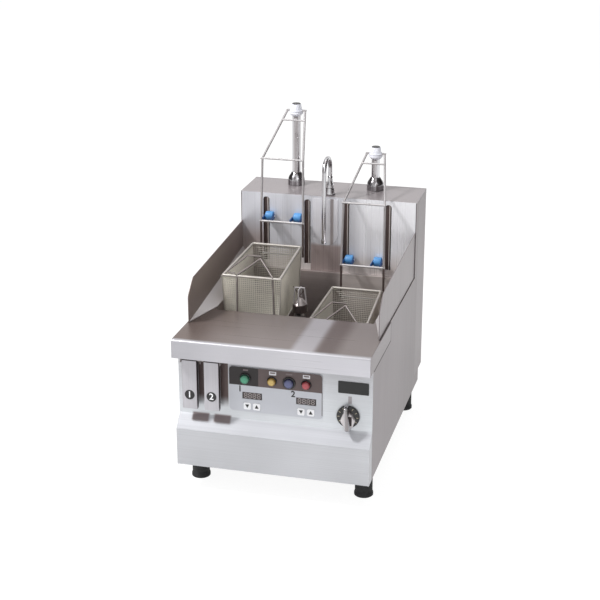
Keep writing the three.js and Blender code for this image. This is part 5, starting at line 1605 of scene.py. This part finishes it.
def makeLampsAndButtons():
    lamp, z = lampSettings, panelSettings["lampZ"]
    back = lamp["bezelBack"]
    front = back - lamp["bezelRise"]
    rim = front - lamp["proud"]
    for row in lamp["rows"]:
        node, centre, lens, wide = row["node"], (row["x"], z), row["lens"], row["bezel"]
        bore, barrel, rear = lens + lamp["gap"], lens + lamp["barrelWall"], back + lamp["barrel"]
        ring = [
            (bore, rear), (barrel, rear), (barrel, back), (wide, back), (wide, back - 0.5),
            (wide - 0.4, front + 0.7), (wide - 1.3, front), (bore + 0.4, front), (bore, front + 0.4),
        ]
        moves = node.startswith("push_button")
        housing = [node.replace("push_button", "button_bezel")]
        bezel = turned(ring, centre, "y", 64, True)
        piece(node + "Bezel", [bezel], "dial", "chassis", housing)
        dome = [(0, rim + lamp["lensDepth"]), (lens, rim + lamp["lensDepth"]), (lens, rim + 0.3)]
        for k in range(9):
            angle = math.pi / 2 * (1 - k / 8)
            dome.append((lens * 0.985 * math.sin(angle), rim - lamp["dome"] * math.cos(angle)))
        body = node.replace("push_", "") if moves else "chassis"
        stands = [node] if moves else []
        piece(node + "Lens", [turned(dome, centre, "y", 64)], row["look"], body, stands)


def makeNameplate():
    low, high = nodeBox("nameplate")
    sheet = pulled(frontOutline(low, high, 1.5), "y", low[1], high[1])
    piece("nameplateSheet", [sheet], "nameplate", "chassis", ["nameplate"], 0.15)


knobSettings = {
    "centre": (150.2, 193),
    "dialRadius": 23,
    "dialRise": 5,
    "lean": 5,
    "skirt": ((0, -27.5, 4), (9, -20, 5), (15.5, -6, 6), (0, 25, 3), (-15.5, -6, 6), (-9, -20, 5)),
    "skirtRise": 6,
    "grip": ((-6, -27, 3.4), (6, -27, 3.4), (3.5, 27, 2.6), (-3.5, 27, 2.6)),
    "gripHeight": 17,
    "markCount": 11,
    "markSweep": 300,
    "markReach": (16.6, 21),
    "markHalf": 0.7,
    "shaft": (4.7, -2, 22),
    "index": {"shift": 3, "half": 3.6, "low": 27, "high": 42},
}


def makeKnob():
    knob = knobSettings
    centre = x, z = knob["centre"]
    back = shellSettings["panelY"] - 0.3
    dial = back - knob["dialRise"]
    tip = dial - knob["gripHeight"]
    wide = knob["dialRadius"]
    profile = [
        (0, back), (wide - 0.3, back), (wide, back - 0.3), (wide, dial + 1.6), (wide - 0.5, dial + 0.5),
        (wide - 1.6, dial), (0, dial),
    ]
    lean = Matrix.Rotation(math.radians(knob["lean"]), 2)

    def leaning(outline, levels):
        corners = [lean @ corner for corner in roundCorners(outline)]
        return skinned([[(x + p.x * share, y, z + p.y * share) for p in corners] for share, y in levels])

    skirtTop = dial - knob["skirtRise"]
    levels = [(1, dial - 0.02), (1, skirtTop + 2.6), (0.97, skirtTop + 1), (0.9, skirtTop)]
    piece("knobSkirt", [leaning(knob["skirt"], levels)], "hub", "knob", smooth=50)
    radius, front, rear = knob["shaft"]
    shaft = turned(drum(radius, back + front, back + rear), centre, "y", 32)
    solids = [turned(profile, centre, "y", 80), shaft]
    piece("knobDial", solids, "dial", "knob", ["control_knob"])

    levels = [(1, dial - 1), (1, dial - 7), (0.98, dial - 10), (0.93, dial - 13.4)]
    levels += [(0.86, tip + 1), (0.78, tip)]
    piece("knobGrip", [leaning(knob["grip"], levels)], "chrome", "knob", smooth=50)
    marks = []
    near, far = knob["markReach"]
    for k in range(knob["markCount"]):
        angle = math.radians(knob["markSweep"] * (k / (knob["markCount"] - 1) - 0.5))
        along = Vector((math.sin(angle), math.cos(angle)))
        across = Vector((along.y, -along.x)) * knob["markHalf"]
        corners = [along * near - across, along * near + across, along * far + across, along * far - across]
        marks.append(pulled([(x + p.x, z + p.y) for p in corners], "y", dial - 0.12, dial - 0.02))
    piece("knobMarks", marks, "dialMark", "knob")
    mark, panelY = knob["index"], shellSettings["panelY"]
    middle = x + mark["shift"]
    low, high = (middle - mark["half"], z + mark["low"]), (middle + mark["half"], z + mark["high"])
    index = pulled(rectangle(low, high, 0.8), "y", panelY - 0.14, panelY - 0.02)
    piece("knobIndex", [index], "indexMark", "chassis")


makePlate()
makeDisplays()
makeKeys()
makeLampsAndButtons()
makeNameplate()
makeKnob()
print("front controls made")

# Overflow pipe with its strainer hood and crossed handle

strainerSettings = {
    "centre": (0.5, -65),
    "pipeRadius": 12,
    "boreRadius": 9.5,
    "plugRadius": 6.5,
    "throatRadius": 3.5,
    "plugDepth": 12,
    "floorZ": 151.8,
    "shelf": 1.5,
    "rimRise": 0.7,
    "ceilingZ": 340.5,
    "hoodRadius": 15.5,
    "hoodBottom": 325,
    "hoodTop": 342,
    "coneRise": 13,
    "tipRadius": 4.5,
    "handleWire": 3,
    "handleHalf": 14,
    "handleTop": 381,
    "braceWire": 2,
    "slotWidth": 9,
    "slotZ": (318.5, 332.5),
}


def makeStrainer():
    rest = strainerSettings
    centre = x, y = rest["centre"]
    seat, ceiling = rest["floorZ"], rest["ceilingZ"]
    pipe, bore, plug, throat = (rest[key + "Radius"] for key in ("pipe", "bore", "plug", "throat"))
    foot, rim, shelf = seat - rest["plugDepth"], ceiling + rest["rimRise"], seat + rest["shelf"]
    tube = [
        (throat, foot), (plug - 0.6, foot), (plug, seat), (pipe, seat),
        (pipe, rim), (bore, rim), (bore, shelf), (throat, shelf),
    ]
    reach, half = pipe + 2, rest["slotWidth"] / 2
    low, high = rest["slotZ"]
    slots = [block((x - a, y - b, low), (x + a, y + b, high)) for a, b in ((reach, half), (half, reach))]
    wide, tip, tipZ = rest["hoodRadius"], rest["tipRadius"], rest["hoodTop"] + rest["coneRise"]
    skirt, crown = rest["hoodBottom"], rest["hoodTop"]
    hood = [
        (0, ceiling), (wide - 1.5, ceiling), (wide - 1.5, skirt), (wide - 0.4, skirt), (wide, skirt + 0.4),
        (wide, crown - 0.8), (wide - 0.8, crown), (tip + 0.8, tipZ - 0.8), (tip - 0.6, tipZ), (0, tipZ),
    ]
    piece("overflowHood", [turned(hood, centre)], "strainer", "overflow", ["overflow_pipe"])
    tube = carved(turned(tube, centre, loop=True), *slots)
    piece("overflowPipe", [tube], "inner", "overflow")
    loops, half, thick = [], rest["handleHalf"], rest["handleWire"]
    for dx, dy, drop in ((half, 0, 0), (0, half, thick / 2)):
        top = rest["handleTop"] - drop
        near, far = (x - dx, y - dy), (x + dx, y + dy)
        route = easedRoute([(*near, ceiling), (*near, top), (*far, top), (*far, ceiling)], 5, 8)
        loops.append(wire(route, thick, 12))
    low, high = crown - 2, rest["handleTop"] - 2
    braces = [wire([(x - s * half, y, low), (x + s * half, y, high)], rest["braceWire"], 10) for s in (-1, 1)]
    piece("overflowHandle", loops, "wireGrey", "overflow", smooth=40)
    piece("overflowBraces", braces, "wireDeep", "overflow", smooth=40)


makeStrainer()
print("overflow strainer made")

# Feet, heater and rear fittings

footSettings = {"radius": 19.5, "neck": 18, "rim": 7, "grooves": 5, "grooveDepth": 0.5, "stud": 4}


def makeFeet():
    foot = footSettings
    top = nodeBox("base_pan")[0][2] - shellSettings["gap"]
    wide, neck, rim = foot["radius"], foot["neck"], foot["rim"]
    deep, pitch = neck - foot["grooveDepth"], (top - 16) / foot["grooves"]
    profile = [(0, 0), (wide - 1, 0), (wide, 1), (wide, rim - 1), (wide - 0.4, rim), (neck, rim + 1.6)]
    for k in range(foot["grooves"]):
        z = rim + 5 + k * pitch
        profile += [(neck, z), (deep, z + 0.6), (deep, z + 1.6), (neck, z + 2.2)]
    profile += [(neck, top - 1), (neck - 1, top), (0, top)]
    for name in ("front_left", "front_right", "rear_left", "rear_right"):
        low, high = nodeBox("foot_" + name)
        centre = ((low[0] + high[0]) / 2, (low[1] + high[1]) / 2)
        stud = turned(drum(foot["stud"], top - 10, high[2]), centre, steps=20)
        solids = [turned(profile, centre, steps=56), stud]
        piece("rubberFoot_" + name, solids, "rubber", "chassis", ["foot_" + name])


heaterSettings = {
    "xs": (-128, -58, 57, 128),
    "half": 17,
    "z": 174,
    "bendY": -77.5,
    "rearY": 184,
    "diameter": 8,
    "header": (172.3, 159, 189),
}


def makeHeater():
    heat = heaterSettings
    half, z = heat["half"], heat["z"]
    solids = []
    for x in heat["xs"]:
        route = [(x - half, heat["rearY"], z)]
        for k in range(17):
            angle = math.pi * (1 + k / 16)
            route.append((x + half * math.cos(angle), heat["bendY"] + half * math.sin(angle), z))
        route.append((x + half, heat["rearY"], z))
        solids.append(wire(route, heat["diameter"], 16))
    low, high = nodeBox("heater_element")
    front, bottom, top = heat["header"]
    solids.append(block((low[0], front, bottom), (high[0], high[1], top)))
    piece("heaterRods", solids, "inner", "chassis", ["heater_element"], smooth=40)


rearSettings = {
    "drain": {
        "place": (0.5, 71), "start": 250, "bore": 8.5, "pipe": 10, "thread": 12, "threadLength": 16,
        "pitch": 2, "lip": 1,
    },
    "gland": {"place": (150, 71), "bore": 5.5, "radius": 10, "nut": 12, "nutLength": 7},
    "inlet": {
        "place": (1, 115), "bore": 7, "pipe": 9.3, "thread": 10, "threadLength": 18, "pitch": 1.8, "lip": 0.8,
    },
}


# Shallow thread rings along an axis, as (radius, distance) spots.
def threadSpots(radius, start, end, pitch, depth=0.7):
    count = int((end - start) / pitch)
    spots = []
    for k in range(count):
        y = start + k * pitch
        spots += [(radius - depth, y), (radius, y + pitch * 0.5)]
    spots.append((radius - depth, start + count * pitch))
    return spots


def hexNut(x, z, across, start, end):
    turns = [math.pi / 3 * k for k in range(6)]
    points = [(x + across * math.cos(turn), z + across * math.sin(turn), 0.8) for turn in turns]
    return pulled(points, "y", start, end, 3)


def makeSpigot(name, fitting, end):
    bore, pipe, start = fitting["bore"], fitting["pipe"], end - fitting["threadLength"]
    rear = fitting.get("start", start)
    spots = [(bore, rear), (pipe, rear)]
    if rear < start:
        spots.append((pipe, start))
    spots += threadSpots(fitting["thread"], start, end - 0.6, fitting["pitch"])
    spots += [(bore + 1, end), (bore, end - fitting["lip"])]
    spigot = turned(spots, fitting["place"], "y", 48, True)
    piece(name, [spigot], "brass", "chassis")


def makeRearFittings():
    makeSpigot("drainSpigot", rearSettings["drain"], nodeBox("drain_pipe")[1][1])

    gland = rearSettings["gland"]
    low, high = nodeBox("cord_gland")
    wall, bore, radius = nodeBox("base_pan")[1][1], gland["bore"], gland["radius"]
    spots = [
        (bore, low[1]), (radius, low[1]), (radius, wall + 10), (radius - 0.6, wall + 10.4),
        (radius - 0.6, high[1] - 4), (bore + 1.4, high[1]), (bore, high[1] - 1),
    ]
    solids = [turned(spots, gland["place"], "y", 48, True)]
    for start in (low[1], wall + shellSettings["gap"]):
        nut = hexNut(*gland["place"], gland["nut"], start, start + gland["nutLength"])
        solids.append(carved(nut, crossHole(*gland["place"], bore + 1, start - 1, start + 9)))
    piece("cordGland", solids, "black", "chassis", ["cord_gland"])

    makeSpigot("inletSpigot", rearSettings["inlet"], nodeBox("solenoid_valve")[1][1])


makeFeet()
makeHeater()
makeRearFittings()
print("feet and fittings made")

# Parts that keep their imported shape

keptLooks = {
    "base_pan": "inner",
    "tank": "tank",
    "guide_channels": "groove",
    "actuator_shelf": "inner",
    "lift_actuator_left": "inner",
    "lift_actuator_right": "inner",
    "paddle_bracket": "inner",
    "paddle_switches": "black",
    "rotary_switch": "black",
    "drain_pipe": "inner",
    "water_pipe": "brass",
    "solenoid_valve": "brass",
    "contactor": "black",
}
for nodeName, lookName in keptLooks.items():
    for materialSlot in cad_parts[nodeName].material_slots:
        materialSlot.material = looks[lookName]

print("all pieces made")
